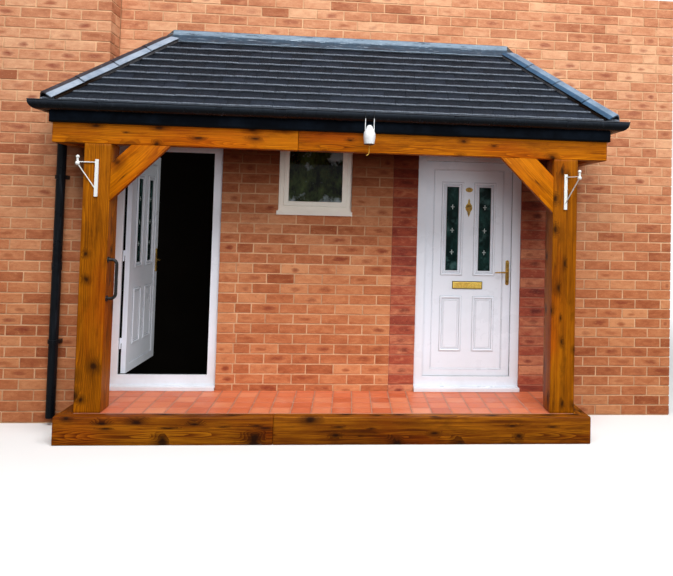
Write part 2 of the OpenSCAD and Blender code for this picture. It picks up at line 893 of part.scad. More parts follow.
// Lead over the top of the front slope, mitred at its ends and turned up against the wall
module front_lead() {
    low_y = wall_y - lead_plan;
    t = lead_t / cos(pitch);
    intersection() {
        translate([-big / 2, 0, 0]) rotate([90, 0, 90]) linear_extrude(big) polygon([
            [low_y, top_z(low_y) + seat], [wall_y, top_z(wall_y) + seat], [wall_y, top_z(wall_y) + lead_up],
            [wall_y - lead_t, top_z(wall_y) + lead_up], [wall_y - lead_t, top_z(wall_y - lead_t) + t],
            [low_y, top_z(low_y) + t]
        ]);
        roof_cut([[-hip_top_x - lead_plan, low_y], [hip_top_x + lead_plan, low_y], [hip_top_x, wall_y], [-hip_top_x, wall_y]]);
    }
}

// Lead down a side slope against a wall face at y, from x = near to x = far
module side_lead(y, near, far) {
    function z(x) = nose_z + (eave_half - x) * tan(pitch) + seat;
    t = lead_t / cos(pitch);
    translate([0, y, 0]) rotate([90, 0, 0]) {
        linear_extrude(lead_plan) polygon([[near, z(near)], [far, z(far)], [far, z(far) + t], [near, z(near) + t]]);
        linear_extrude(lead_t)
            polygon([[near, z(near)], [far, z(far)], [far, z(far) + lead_up], [near, z(near) + lead_up]]);
    }
}

// The left side steps round the bay, where a short gutter of lead lies against the bay's side
module lead_flashing() {
    low = nose_z + (eave_half - bay_x) * tan(pitch) + seat;
    rise = lead_plan * tan(pitch);
    t = lead_t / cos(pitch);
    color(lead) {
        front_lead();
        intersection() {
            union() {
                side_lead(wall_y, hip_top_x, eave_half);
                mirror([1, 0, 0]) side_lead(wall_y, hip_top_x, bay_x - lead_plan - 1);
            }
            union() for (s = [0, 1]) mirror([s, 0, 0]) roof_cut([[hip_top_x + 0.01, wall_y],
                [hip_top_x + lead_plan + 0.01, wall_y - lead_plan], [big, wall_y - lead_plan], [big, wall_y]]);
        }
        mirror([1, 0, 0]) side_lead(bay_y, bay_x, eave_half);
        translate([-bay_x, wall_y, 0]) rotate([90, 0, 0]) linear_extrude(bay_d) polygon([
            [0, low], [lead_plan, low + rise], [lead_plan, low + rise + t], [lead_t, low + lead_t * tan(pitch) + t],
            [lead_t, low + lead_up], [0, low + lead_up]
        ]);
    }
}

// Rainwater goods

module along_gutter(length) {
    rotate([90, 0, 90]) linear_extrude(length) translate([-gutter_r, -gutter_side]) children();
}

// Half disc below y = 0
module lower_half(r) {
    intersection() {
        circle(r, $fn = 64);
        translate([-r, -2 * r]) square([2 * r, 2 * r]);
    }
}

// Half-round channel running along +X, its rim at z = 0 and its back against y = 0
module channel(length) {
    inner = gutter_r - gutter_t;
    along_gutter(length) {
        difference() {
            lower_half(gutter_r);
            lower_half(inner);
        }
        for (x = [-gutter_r, inner]) translate([x, 0]) square([gutter_t, gutter_side]);
    }
}

module gutter_cut(points) {
    translate([0, 0, fascia_z]) linear_extrude(fascia_h * 2) polygon(points);
}

module front_gutter() {
    color(black) intersection() {
        translate([-fascia_half - gutter_reach, fascia_y, fascia_top - gutter_drop]) channel(2 * (fascia_half + gutter_reach));
        gutter_cut([[-fascia_half - gutter_reach, fascia_y - gutter_reach], [fascia_half + gutter_reach, fascia_y - gutter_reach],
            [fascia_half, fascia_y], [-fascia_half, fascia_y]]);
    }
}

// Closes a run, cut down where the tile noses hang over the gutter
module stop_end() {
    difference() {
        union() {
            lower_half(gutter_r);
            translate([-gutter_r, 0]) square([2 * gutter_r, gutter_side]);
        }
        translate([gutter_r - tile_overhang - gutter_t, -gutter_t])
            square([tile_overhang + gutter_t + 1, gutter_side + gutter_t + 1]);
    }
}

// A side run, with a stop end against the wall at end_y
module gutter_side_run(end_y) {
    intersection() {
        translate([fascia_half, fascia_y - gutter_reach, fascia_top - gutter_drop]) rotate([0, 0, 90])
            union() {
                channel(end_y - fascia_y + gutter_reach);
                translate([end_y - fascia_y + gutter_reach - gutter_t, 0, 0]) along_gutter(gutter_t) stop_end();
            }
        gutter_cut([[fascia_half, fascia_y], [fascia_half + gutter_reach, fascia_y - gutter_reach],
            [fascia_half + gutter_reach, end_y], [fascia_half, end_y]]);
    }
}

// The left run has the outlet, whose spigot drops into the pipe
module side_gutters() {
    spigot = pipe_r - pipe_t - seat;
    color(black) {
        gutter_side_run(wall_y);
        difference() {
            union() {
                mirror([1, 0, 0]) gutter_side_run(bay_y);
                difference() {
                    translate([pipe_x, pipe_y, gutter_base - spigot_l]) cylinder(r = spigot, h = spigot_l + gutter_r);
                    translate([pipe_x, 0, gutter_base + gutter_r]) rotate([90, 0, 0])
                        cylinder(r = gutter_r - gutter_t / 2, h = big, center = true);
                }
            }
            translate([pipe_x, pipe_y, gutter_base - spigot_l - 1])
                cylinder(r = spigot - pipe_t, h = spigot_l + gutter_r);
        }
    }
}

// Pipe down the face of the bay
module downpipe() {
    tube_h = gutter_base - 2 - pipe_foot;
    color(black) translate([pipe_x, pipe_y, pipe_foot]) difference() {
        cylinder(r = pipe_r, h = tube_h);
        translate([0, 0, -1]) cylinder(r = pipe_r - pipe_t, h = tube_h + 2);
    }
}

// Straps round the pipe, each on a block against the wall
module pipe_clips() {
    color(black) for (z = [clip_low, clip_high]) translate([pipe_x, pipe_y, z]) difference() {
        union() {
            cylinder(r = pipe_r + clip_t, h = clip_h);
            translate([-clip_w / 2, 0, 0]) cube([clip_w, bay_y - pipe_y, clip_h]);
        }
        translate([0, 0, -1]) cylinder(r = pipe_r + seat, h = clip_h + 2);
    }
}

// Fittings

// Quarter of a ring of round bar about Y, from straight below its centre to level with it on +X
module quarter_bar(bend, r) {
    reach = bend + r;
    intersection() {
        rotate([90, 0, 0]) rotate_extrude() translate([bend, 0]) circle(r);
        translate([0, -reach, -reach]) cube([reach, 2 * reach, reach]);
    }
}

// Flat plate on the post front, an arm that swings on it, a stay under the arm and a turned tip
module basket_bracket(x, turn) {
    arm_z = bracket_h - arm_drop;
    bulb_z = arm_z - bulb_r / 2;
    rise = bulb_z - stay_foot;
    translate([x, post_y, deck_h + bracket_z]) {
        translate([-bracket_w / 2, -bracket_t, 0]) cube([bracket_w, bracket_t, bracket_h]);
        translate([0, bracket_bar / 2 - bracket_t, 0]) rotate([0, 0, turn]) {
            translate([-bracket_reach, -bracket_bar / 2, arm_z]) cube([bracket_reach, bracket_bar, bracket_bar]);
            translate([0, -bracket_bar / 2, stay_foot]) rotate([0, -atan(bracket_reach / rise), 0])
                translate([-bracket_bar / 2, 0, 0]) cube([bracket_bar, bracket_bar, norm([bracket_reach, rise])]);
            translate([-bracket_reach, 0, bulb_z]) {
                sphere(r = bulb_r);
                cylinder(r = bulb_r / 2, h = 3 * bulb_r);
                translate([0, 0, 3 * bulb_r]) sphere(r = bulb_r * 0.8);
            }
        }
    }
}

module basket_brackets() {
    color(white) {
        basket_bracket(-post_in - bracket_in, 0);
        mirror([1, 0, 0]) basket_bracket(-post_in - bracket_in, bracket_turn);
    }
}

// Bow handle on the inner face of the left post, bent to a round foot at each end
module grab_handle() {
    stand = grab_gap + grab_r;
    straight = stand - grab_bend;
    color(black) translate([-post_in, post_y + grab_set, deck_h + grab_z]) {
        for (z = [0, grab_l]) translate([0, 0, z]) rotate([0, 90, 0]) {
            cylinder(r = grab_r * 2, h = grab_r / 2);
            cylinder(r = grab_r, h = straight);
        }
        translate([straight, 0, grab_bend]) quarter_bar(grab_bend, grab_r);
        translate([straight, 0, grab_l - grab_bend]) mirror([0, 0, 1]) quarter_bar(grab_bend, grab_r);
        translate([stand, 0, grab_bend]) cylinder(r = grab_r, h = grab_l - 2 * grab_bend);
    }
}

// Outline of the hanger's housing, as shares of its radius and height
HOUSING = [[0, 0], [0.6, 0], [0.84, 0.03], [1, 0.4], [1, 0.53], [0.9, 0.65], [0.55, 0.85], [0.43, 0.95], [0.2, 1], [0, 1]];

// Two hooked rods over the gutter rim, a turned housing between their feet and its hook
module basket_hanger() {
    rim = fascia_top - gutter_drop;
    rod_z = rim + hanger_rod_r + seat;
    foot = rim - housing_drop - housing_h;
    shoulder = foot + housing_h * 0.6;
    y = fascia_y - 2 * gutter_r - hanger_rod_r - seat;
    color(white) translate([hanger_x, y, 0]) {
        for (s = [-1, 1]) translate([s * hanger_rod_x, 0, 0]) {
            translate([0, 0, shoulder]) cylinder(r = hanger_rod_r, h = rod_z - shoulder);
            translate([0, 0, rod_z]) rotate([-90, 0, 0]) cylinder(r = hanger_rod_r, h = hanger_hook);
            translate([0, 0, rod_z]) sphere(r = hanger_rod_r);
        }
        translate([0, 0, foot]) rotate_extrude() polygon([for (p = HOUSING) [p[0] * housing_r, p[1] * housing_h]]);
        translate([0, 0, foot - hook_l]) cylinder(r = hanger_rod_r, h = hook_l + 4);
        translate([-hook_bend, 0, foot - hook_l]) quarter_bar(hook_bend, hanger_rod_r);
    }
}

bay_wall();
wall_middle();
wall_right();
walls_over_doors();
infill_piers();
threshold_blocks();
left_door_frame();
left_door_leaf();
left_door_glass();
left_door_handles();
right_door_frame();
right_door_leaf();
right_door_glass();
right_door_handles();
letter_plate();
door_knocker();
door_sills();
window_frame();
window_sash();
window_glass();
window_sill();
front_sleepers();
side_sleepers();
deck_bed();
deck_tiles();
post_left();
post_right();
front_beams();
side_beams();
knee_braces();
ceiling();
wall_plate();
rafters();
fascia();
roof_front();
roof_sides();
hip_tiles();
lead_flashing();
front_gutter();
side_gutters();
downpipe();
pipe_clips();
basket_brackets();
grab_handle();
basket_hanger();
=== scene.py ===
# %% [markdown]
# # A hipped porch on timber posts, dressed for the camera
#
# The porch arrives as solids at their real size, in metres: X runs along the house wall, +Y into the
# house and Z up, with the origin on the ground under the middle of the deck. This lesson gives every solid
# its looks. Plain solids such as a wall are replaced by the pieces a builder would lay, and solids whose
# form is already right are copied, softened along their edges and given a finish.

# %% Load the fixed frame
import math

import bmesh
import bpy
import numpy as np
from mathutils import Matrix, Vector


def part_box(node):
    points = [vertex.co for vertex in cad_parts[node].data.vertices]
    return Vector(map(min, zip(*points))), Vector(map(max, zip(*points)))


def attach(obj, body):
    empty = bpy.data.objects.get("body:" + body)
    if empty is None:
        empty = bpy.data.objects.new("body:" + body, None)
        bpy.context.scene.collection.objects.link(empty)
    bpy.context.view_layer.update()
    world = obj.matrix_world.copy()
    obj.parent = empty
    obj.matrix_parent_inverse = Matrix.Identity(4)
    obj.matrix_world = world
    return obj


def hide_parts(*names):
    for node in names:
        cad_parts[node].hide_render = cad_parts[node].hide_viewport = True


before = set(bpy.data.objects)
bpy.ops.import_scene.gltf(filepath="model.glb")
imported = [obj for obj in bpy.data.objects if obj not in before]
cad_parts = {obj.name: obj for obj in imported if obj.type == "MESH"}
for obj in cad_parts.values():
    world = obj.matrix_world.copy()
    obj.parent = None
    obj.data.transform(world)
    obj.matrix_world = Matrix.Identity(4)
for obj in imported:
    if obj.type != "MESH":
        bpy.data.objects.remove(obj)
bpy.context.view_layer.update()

chance = np.random.default_rng(11)


def box_of(node):
    """The lowest and highest corner of a solid, as two arrays."""
    low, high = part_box(node)
    return np.array(low), np.array(high)


# %% [markdown]
# ## Surfaces from arrays
#
# Every new shape is a grid of points. A profile with P points that is carried past S stations gives S rows
# of P points, and the quads between neighbouring points are the surface. Writing the whole grid as one
# array keeps the code short and quick, and one function can then put any number of shapes into one mesh.

# %% Grids of points
def grid_quads(rows, columns, close_rows=False):
    """Quads of a grid whose last column joins its first: the point in row r and column c is number
    r * columns + c."""
    r, c = np.meshgrid(np.arange(rows - (not close_rows)), np.arange(columns), indexing="ij")
    right, down = (c + 1) % columns, (r + 1) % rows
    quads = np.stack([r * columns + c, r * columns + right, down * columns + right, down * columns + c], -1)
    return quads.reshape(-1, 4).tolist()


def grid_solid(points):
    """A grid whose rows are closed sections, capped at both ends."""
    rows, columns = points.shape[:2]
    caps = [list(range(columns))[::-1], list(range((rows - 1) * columns, rows * columns))]
    return points.reshape(-1, 3), grid_quads(rows, columns) + caps


def carried(profile, origins, across, out, loop=False):
    """A closed profile of P points (px, py) carried past S stations: point = origin + px * across + py * out.

    With loop the last station joins the first, as round a frame, and otherwise both ends are capped.
    Longer vectors at a corner make a mitre.
    """
    profile = np.asarray(profile, float)
    origins = np.atleast_2d(np.asarray(origins, float))
    count = len(origins)
    across = np.broadcast_to(np.asarray(across, float), (count, 3))
    out = np.broadcast_to(np.asarray(out, float), (count, 3))
    points = origins[:, None] + profile[None, :, :1] * across[:, None] + profile[None, :, 1:] * out[:, None]
    if loop:
        return points.reshape(-1, 3), grid_quads(count, len(profile), close_rows=True)
    return grid_solid(points)


def turned(outline, foot, axis, steps):
    """A lathe shape: outline rows are (radius, height along the axis), turned round the axis through foot."""
    axis = np.asarray(axis, float) / np.linalg.norm(axis)
    side = np.cross(axis, [0.37, 0.61, 0.7])
    side /= np.linalg.norm(side)
    third = np.cross(axis, side)
    angle = np.linspace(0, 2 * np.pi, steps, endpoint=False)
    ring = np.cos(angle)[:, None] * side + np.sin(angle)[:, None] * third
    radius, height = np.asarray(outline, float).T
    return grid_solid(np.asarray(foot, float) + radius[:, None, None] * ring + height[:, None, None] * axis)


def tube(path, radius, steps):
    """A round bar along a path of points, its rings square to the line between the neighbouring points."""
    path = np.asarray(path, float)
    along = np.gradient(path, axis=0)
    along /= np.linalg.norm(along, axis=1)[:, None]
    spare = np.where(np.abs(along[:, 2:]) > 0.9, [[0.0, 1.0, 0.0]], [[0.0, 0.0, 1.0]])
    side = np.cross(along, spare)
    side /= np.linalg.norm(side, axis=1)[:, None]
    angle = np.linspace(0, 2 * np.pi, steps, endpoint=False)
    radius = np.broadcast_to(np.asarray(radius, float), (len(path),))
    disc = np.stack([np.cos(angle), np.sin(angle)], -1)
    rings = disc[None, :, :1] * side[:, None] + disc[None, :, 1:] * np.cross(side, along)[:, None]
    return grid_solid(path[:, None] + rings * radius[:, None, None])


# %% [markdown]
# ## Bricks, tiles and boards as soft boxes
#
# A fired brick is a box whose edges have worn round and whose corners are never quite true. Each corner is
# split into three points, one on each face that meets there, so a box takes 24 points and 26 faces. One
# array holds all the boxes of a wall, and each carries its own tone to the finish as an attribute.

# %% Soft boxes
CORNERS = np.array([[x, y, z] for x in (-1, 1) for y in (-1, 1) for z in (-1, 1)], float)
POINTS_A_BOX = 24
MOST_CUT = 0.45


def corner_point(axis, side, first, second):
    """Number of the first point of the corner at side along an axis, and at first and second along the two
    axes that follow it."""
    return 3 * int(np.argmax((np.roll(CORNERS, -axis, 1) == (side, first, second)).all(1)))


def soft_box_faces():
    """Faces of one soft box: 6 sides, 12 edge strips and 8 corners. Point 3 * corner + axis lies on the
    side that faces along that axis."""
    faces = []
    for axis in range(3):
        for side in (-1, 1):
            ring = [corner_point(axis, side, a, b) + axis for a, b in ((-1, -1), (1, -1), (1, 1), (-1, 1))]
            faces.append(ring if side > 0 else ring[::-1])
    for axis in range(3):
        u, v = (axis + 1) % 3, (axis + 2) % 3
        for a in (-1, 1):
            for b in (-1, 1):
                start, end = (corner_point(axis, side, a, b) for side in (-1, 1))
                strip = [start + u, end + u, end + v, start + v]
                faces.append(strip if a * b > 0 else strip[::-1])
    for number, corner in enumerate(CORNERS):
        tip = [3 * number, 3 * number + 1, 3 * number + 2]
        faces.append(tip if corner.prod() > 0 else tip[::-1])
    return faces


BOX_FACES = soft_box_faces()


def soft_boxes(low, high, round_off, wobble=0.0):
    """Boxes between N low and N high corners. Edges are cut back by round_off, and each corner strays by
    up to wobble. Returns the points, the faces and each point's place in its box, from -1 to 1."""
    low, high = np.atleast_2d(low).astype(float), np.atleast_2d(high).astype(float)
    centre, half = (low + high) / 2, (high - low) / 2
    cut = np.minimum(round_off, half.min(1) * MOST_CUT)[:, None, None, None]
    reach = half[:, None, None, :] - cut * (1 - np.eye(3)[None, None])
    stray = chance.uniform(-wobble, wobble, (len(low), len(CORNERS), 1, 3))
    points = centre[:, None, None, :] + CORNERS[None, :, None, :] * reach + stray
    local = np.broadcast_to(CORNERS[None, :, None, :], points.shape)
    starts = np.arange(len(low)) * POINTS_A_BOX
    faces = [[start + p for p in face] for start in starts for face in BOX_FACES]
    return points.reshape(-1, 3), faces, local.reshape(-1, 3)


def box_rows(x, y, z):
    """Low and high corners of N boxes, from a (from, to) pair of numbers or arrays for each axis."""
    return [np.stack(np.broadcast_arrays(*ends), 1) for ends in zip(x, y, z)]


def all_boxes(groups):
    """Puts groups of low and high corners into one array of each."""
    return [np.concatenate(corners) for corners in zip(*groups)]


# %% One function that puts shapes into a mesh
def joined(shapes):
    """Joins (points, faces) pairs into one pair."""
    points, faces, start = [], [], 0
    for shape in shapes:
        points.append(shape[0])
        faces += [[start + p for p in face] for face in shape[1]]
        start += len(shape[0])
    return np.concatenate(points), faces


def piece(name, shape, finish, body="porch", stands_for=(), slot=None, marks=None, smooth=None, merge=0.0):
    """Makes an object of a (points, faces) pair, rides it on a body and gives it its finish.

    marks are named vectors, one for each point, that the finish reads. smooth is the angle in degrees
    under which neighbouring faces shade as one.
    """
    mesh = bpy.data.meshes.new(name)
    mesh.from_pydata(shape[0], [], shape[1])
    for mark, values in (marks or {}).items():
        layer = mesh.attributes.new(mark, "FLOAT_VECTOR", "POINT")
        layer.data.foreach_set("vector", np.asarray(values, np.float32).ravel())
    work = bmesh.new()
    work.from_mesh(mesh)
    if merge:
        bmesh.ops.remove_doubles(work, verts=work.verts, dist=merge)
    bmesh.ops.recalc_face_normals(work, faces=work.faces)
    work.to_mesh(mesh)
    work.free()
    return placed(name, mesh, finish, body, stands_for, smooth)


def placed(name, mesh, finish, body, stands_for, smooth):
    """Puts a mesh in the scene as one piece of the porch."""
    made = bpy.data.objects.new(name, mesh)
    bpy.context.scene.collection.objects.link(made)
    mesh.materials.clear()
    mesh.materials.append(finish)
    if smooth is not None:
        mesh.shade_smooth()
        mesh.set_sharp_from_angle(angle=math.radians(smooth))
    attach(made, body)
    if stands_for:
        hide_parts(*stands_for)
    print(f"{name}: {len(mesh.polygons)} faces")
    return made


MERGE_UNDER = 2e-5
FLAT_UNDER, ROUND_OVER = math.radians(0.5), math.radians(40)


def dressed(node, finish, body="porch", round_off=0.0015, smooth=30):
    """A copy of a solid's mesh with its loose triangles merged, flat faces joined and edges rounded."""
    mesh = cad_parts[node].data.copy()
    work = bmesh.new()
    work.from_mesh(mesh)
    bmesh.ops.remove_doubles(work, verts=work.verts, dist=MERGE_UNDER)
    bmesh.ops.dissolve_limit(work, angle_limit=FLAT_UNDER, verts=work.verts, edges=work.edges)
    work.to_mesh(mesh)
    work.free()
    made = placed(node + "_dressed", mesh, finish, body, [node], smooth)
    if round_off:
        bevel = made.modifiers.new("rounded edges", "BEVEL")
        bevel.width = round_off
        bevel.segments = 2
        bevel.limit_method = "ANGLE"
        bevel.angle_limit = ROUND_OVER
        bevel.harden_normals = True
    return made


# %% [markdown]
# ## Writing a finish
#
# A finish is a procedural material. Its nodes are written as a chain of steps: each step adds one node and
# hands back its output, so a recipe reads from the pattern to the shader. Numbers on their way through the
# nodes can be added and multiplied as in arithmetic. Colours are written as the eye sees them and turned
# into the linear values that Blender works in.

# %% Tools for finishes
def seen(text):
    """Linear colour from a web colour such as #a85a0c: ((c + 0.055) / 1.055) to the power 2.4."""
    code = [int(text[i:i + 2], 16) / 255 for i in (1, 3, 5)]
    return tuple(c / 12.92 if c <= 0.04045 else ((c + 0.055) / 1.055) ** 2.4 for c in code) + (1.0,)


class Step:
    """An output on its way to the next node. Arithmetic with it adds a Math node."""

    def __init__(self, finish, socket):
        self.finish, self.socket = finish, socket

    def __add__(self, other):
        return self.finish.sums("ADD", self, other)

    def __sub__(self, other):
        return self.finish.sums("SUBTRACT", self, other)

    def __mul__(self, other):
        return self.finish.sums("MULTIPLY", self, other)

    def __truediv__(self, other):
        return self.finish.sums("DIVIDE", self, other)

    def __abs__(self):
        return self.finish.sums("ABSOLUTE", self)


class Finish:
    """A material that is written as a chain of steps."""

    def __init__(self, name):
        self.material = bpy.data.materials.new(name)
        self.material.use_nodes = True
        tree = self.material.node_tree
        self.nodes, self.links = tree.nodes, tree.links
        self.shader = tree.nodes["Principled BSDF"]

    def feed(self, socket, value):
        """Links an output to a socket, or sets the socket's own value."""
        value = value.socket if isinstance(value, Step) else value
        if isinstance(value, bpy.types.NodeSocket):
            self.links.new(value, socket)
        else:
            socket.default_value = value

    def node(self, kind, feeds, **settings):
        made = self.nodes.new("ShaderNode" + kind)
        for key, value in settings.items():
            setattr(made, key, value)
        for key, value in feeds.items():
            self.feed(made.inputs[key], value)
        return made

    def step(self, kind, feeds, out=0, **settings):
        """Adds a node and hands back one of its outputs."""
        return Step(self, self.node(kind, feeds, **settings).outputs[out])

    def place(self):
        return self.step("TexCoord", {}, "Object")

    def facing_up(self):
        """How far the surface faces up, from -1 to 1."""
        return self.parts(self.step("NewGeometry", {}, "Normal"))[2]

    def mark(self, name):
        return self.step("Attribute", {}, "Vector", attribute_name=name)

    def parts(self, vector):
        return [Step(self, out) for out in self.node("SeparateXYZ", {0: vector}).outputs]

    def stretch(self, vector, scale):
        return self.step("Mapping", {"Vector": vector, "Scale": scale})

    def add(self, first, second):
        return self.step("VectorMath", {0: first, 1: second}, operation="ADD")

    def times(self, vector, amount):
        return self.step("VectorMath", {0: vector, "Scale": amount}, operation="SCALE")

    def noise(self, vector, scale, detail=3.0, rough=0.5, warp=0.0, out="Fac"):
        """Cloudy noise. Three scales stretch it unlike along the three axes."""
        if isinstance(scale, tuple):
            vector, scale = self.stretch(vector, scale), 1.0
        feeds = {"Vector": vector, "Scale": scale, "Detail": detail, "Roughness": rough, "Distortion": warp}
        return self.step("TexNoise", feeds, out)

    def spread(self, value, low, high, start=0.0, end=1.0):
        feeds = {"Value": value, "From Min": low, "From Max": high, "To Min": start, "To Max": end}
        return self.step("MapRange", feeds)

    def rough(self, noise, start, end):
        """Roughness that goes from start to end as a noise goes through its usual range."""
        return self.spread(noise, 0.3, 0.7, start, end)

    def sums(self, way, first, second=0.0):
        return self.step("Math", {0: first, 1: second}, operation=way)

    def ramp(self, value, *stops):
        """Colours by place: stops are (place, colour) pairs."""
        made = self.node("ValToRGB", {"Fac": value})
        bar = made.color_ramp.elements
        while len(bar) < len(stops):
            bar.new(1.0)
        for spot, (where, colour) in zip(bar, stops):
            spot.position = where
            spot.color = seen(colour)
        return Step(self, made.outputs["Color"])

    def mix(self, amount, first, second, way="MIX"):
        """Mixes two colours; a text is a web colour."""
        first, second = (seen(c) if isinstance(c, str) else c for c in (first, second))
        return self.step("Mix", {0: amount, 6: first, 7: second}, 2, data_type="RGBA", blend_type=way)

    def over(self, below, colour, value, low, high, share=1.0):
        """Lays a colour over another as a value goes from low to high, up to a share."""
        return self.mix(self.spread(value, low, high, 0.0, share), below, colour)

    def times_colour(self, body, colour):
        return self.mix(1.0, body, colour, "MULTIPLY")

    def bump(self, height, depth, strength=1.0):
        """Surface relief: height from 0 to 1 stands for depth in metres."""
        return self.step("Bump", {"Height": height, "Distance": depth, "Strength": strength})

    def done(self, colour, roughness, normal=None, **sockets):
        """Feeds the shader and hands back the material. Other sockets are named as in the shader."""
        colour = seen(colour) if isinstance(colour, str) else colour
        self.feed(self.shader.inputs["Base Color"], colour)
        self.feed(self.shader.inputs["Roughness"], roughness)
        if normal is not None:
            self.feed(self.shader.inputs["Normal"], normal)
        for name, value in sockets.items():
            self.feed(self.shader.inputs[name.replace("_", " ")], value)
        return self.material


def two_tone_finish(name, tones, cloud, rough, grain):
    """Two close tones in clouds (scale and detail of the noise) and a fine grain (its scale, depth and
    strength)."""
    f = Finish(name)
    spot = f.place()
    scale, depth, strength = grain
    body = f.mix(f.noise(spot, *cloud), *tones)
    return f.done(body, rough, f.bump(f.noise(spot, scale, 2.0), depth, strength))


# %% [markdown]
# ## Camera and stage
#
# The photographer stood five and a half metres off, a little right of the middle, with the camera level
# to within a few degrees. The straight edges of the porch give its place, turn, tilt and lens. The floor
# and the background are pale, and the floor keeps the shadow close to the porch.

# %% Camera
IMAGE_W, IMAGE_H = 673, 576
FOCAL_PX = 694.0
SENSOR = 36.0
CENTRE_PX = (412.6, 191.4)
CAMERA_AT = (0.086, -5.476, 1.652)
YAW, TILT, ROLL = (math.radians(a) for a in (5.19, 2.18, 1.50))


def camera_turn():
    """Columns are the camera's right, up and back: yaw from +Y to +X, then tilt up, then roll."""
    ahead = np.array([math.sin(YAW) * math.cos(TILT), math.cos(YAW) * math.cos(TILT), math.sin(TILT)])
    level = np.array([math.cos(YAW), -math.sin(YAW), 0.0])
    above = np.cross(level, ahead)
    right = math.cos(ROLL) * level + math.sin(ROLL) * above
    up = -math.sin(ROLL) * level + math.cos(ROLL) * above
    return np.stack([right, up, -ahead], 1)


lens = bpy.data.cameras.new("camera")
lens.sensor_width = SENSOR
lens.lens = FOCAL_PX * SENSOR / IMAGE_W
lens.shift_x = (IMAGE_W / 2 - CENTRE_PX[0]) / IMAGE_W
lens.shift_y = (CENTRE_PX[1] - IMAGE_H / 2) / IMAGE_W
camera = bpy.data.objects.new("camera", lens)
pose = np.eye(4)
pose[:3, :3] = camera_turn()
pose[:3, 3] = CAMERA_AT
camera.matrix_world = Matrix(pose.tolist())
bpy.context.scene.collection.objects.link(camera)
bpy.context.scene.camera = camera
bpy.context.scene.view_settings.view_transform = "Standard"

# %% Floor, sky and lamps
FLOOR_HALF, FLOOR_NEAR, FLOOR_FAR = 40.0, 4.2, 8.5
SKY_LIGHT = 0.22
MIRRORED = 0.25
GRAVEL_BOUNCE = "#5c5854"


def shown_rays(nodes, links):
    """1 for the rays that go from the camera straight to a surface, less for mirrored ones, as hedges and
    trees stand round a real porch, and 0 for light."""
    ray = nodes.new("ShaderNodeLightPath")
    dimmed, larger = nodes.new("ShaderNodeMath"), nodes.new("ShaderNodeMath")
    dimmed.operation, larger.operation = "MULTIPLY", "MAXIMUM"
    links.new(ray.outputs["Is Glossy Ray"], dimmed.inputs[0])
    dimmed.inputs[1].default_value = MIRRORED
    links.new(ray.outputs["Is Camera Ray"], larger.inputs[0])
    links.new(dimmed.outputs[0], larger.inputs[1])
    return larger.outputs[0]


def pale_sky():
    """An even sky that lights the porch at one strength, shows white behind it and dimmed in reflections."""
    world = bpy.data.worlds.new("sky")
    world.use_nodes = True
    nodes, links = world.node_tree.nodes, world.node_tree.links
    strength = nodes.new("ShaderNodeMapRange")
    strength.inputs["To Min"].default_value = SKY_LIGHT
    strength.inputs["To Max"].default_value = 1.0
    links.new(shown_rays(nodes, links), strength.inputs["Value"])
    sky = nodes["Background"]
    sky.inputs["Color"].default_value = (1.0, 1.0, 1.0, 1.0)
    links.new(strength.outputs[0], sky.inputs["Strength"])
    bpy.context.scene.world = world


def soft_lamp(name, place, aim, width, depth, power, mirrored=True):
    """A broad lamp that looks from its place to a point. One that isn't mirrored leaves no image of itself
    in glass."""
    lamp = bpy.data.lights.new(name, "AREA")
    lamp.shape = "RECTANGLE"
    lamp.size, lamp.size_y = width, depth
    lamp.energy = power
    made = bpy.data.objects.new(name, lamp)
    back = np.array(place, float) - np.array(aim, float)
    back /= np.linalg.norm(back)
    side = np.cross([0.0, 0.0, 1.0], back)
    side /= np.linalg.norm(side)
    turn = np.eye(4)
    turn[:3, :3] = np.stack([side, np.cross(back, side), back], 1)
    turn[:3, 3] = place
    made.matrix_world = Matrix(turn.tolist())
    made.visible_glossy = mirrored
    bpy.context.scene.collection.objects.link(made)


def stage_sheet(name, corners, finish):
    """A single face that belongs to the stage and not to the porch."""
    mesh = bpy.data.meshes.new(name)
    mesh.from_pydata(corners, [], [[0, 1, 2, 3]])
    mesh.materials.append(finish)
    sheet = bpy.data.objects.new(name, mesh)
    bpy.context.scene.collection.objects.link(sheet)
    return sheet


def pale_floor():
    """The ground under the porch. It shows pale, but throws back only as much light as gravel does. Far
    from the porch it glows for the camera alone, so that it meets the white sky."""
    f = Finish("pale_floor")
    shown = shown_rays(f.nodes, f.links)
    away = f.step("VectorMath", {0: f.place()}, "Value", operation="LENGTH")
    far = f.spread(away, FLOOR_NEAR, FLOOR_FAR)
    tone = f.mix(far, f.mix(shown, GRAVEL_BOUNCE, "#f6f6f6"), "#000000")
    ground = f.done(tone, 0.9, Specular_IOR_Level=0.0, Emission_Color=(1.0, 1.0, 1.0, 1.0),
                    Emission_Strength=far * shown)
    corners = np.array([[-1, -1, 0], [1, -1, 0], [1, 1, 0], [-1, 1, 0]], float) * FLOOR_HALF
    stage_sheet("floor", corners, ground)


pale_sky()
soft_lamp("high_lamp", (1.2, -5.2, 8.8), (0.0, 0.2, 1.8), 11.0, 4.0, 1180)
soft_lamp("front_lamp", (2.5, -9.0, 3.4), (0.0, 0.0, 1.2), 5.0, 5.0, 330, mirrored=False)
soft_lamp("back_lamp", (-6.5, 6.5, 2.4), (0.0, 0.5, 1.6), 5.0, 2.4, 240, mirrored=False)
pale_floor()

# %% The dark behind the open door
HALL_X = (-2.35, -1.1)
HALL_Y = 1.27
HALL_Z = (0.1, 2.22)


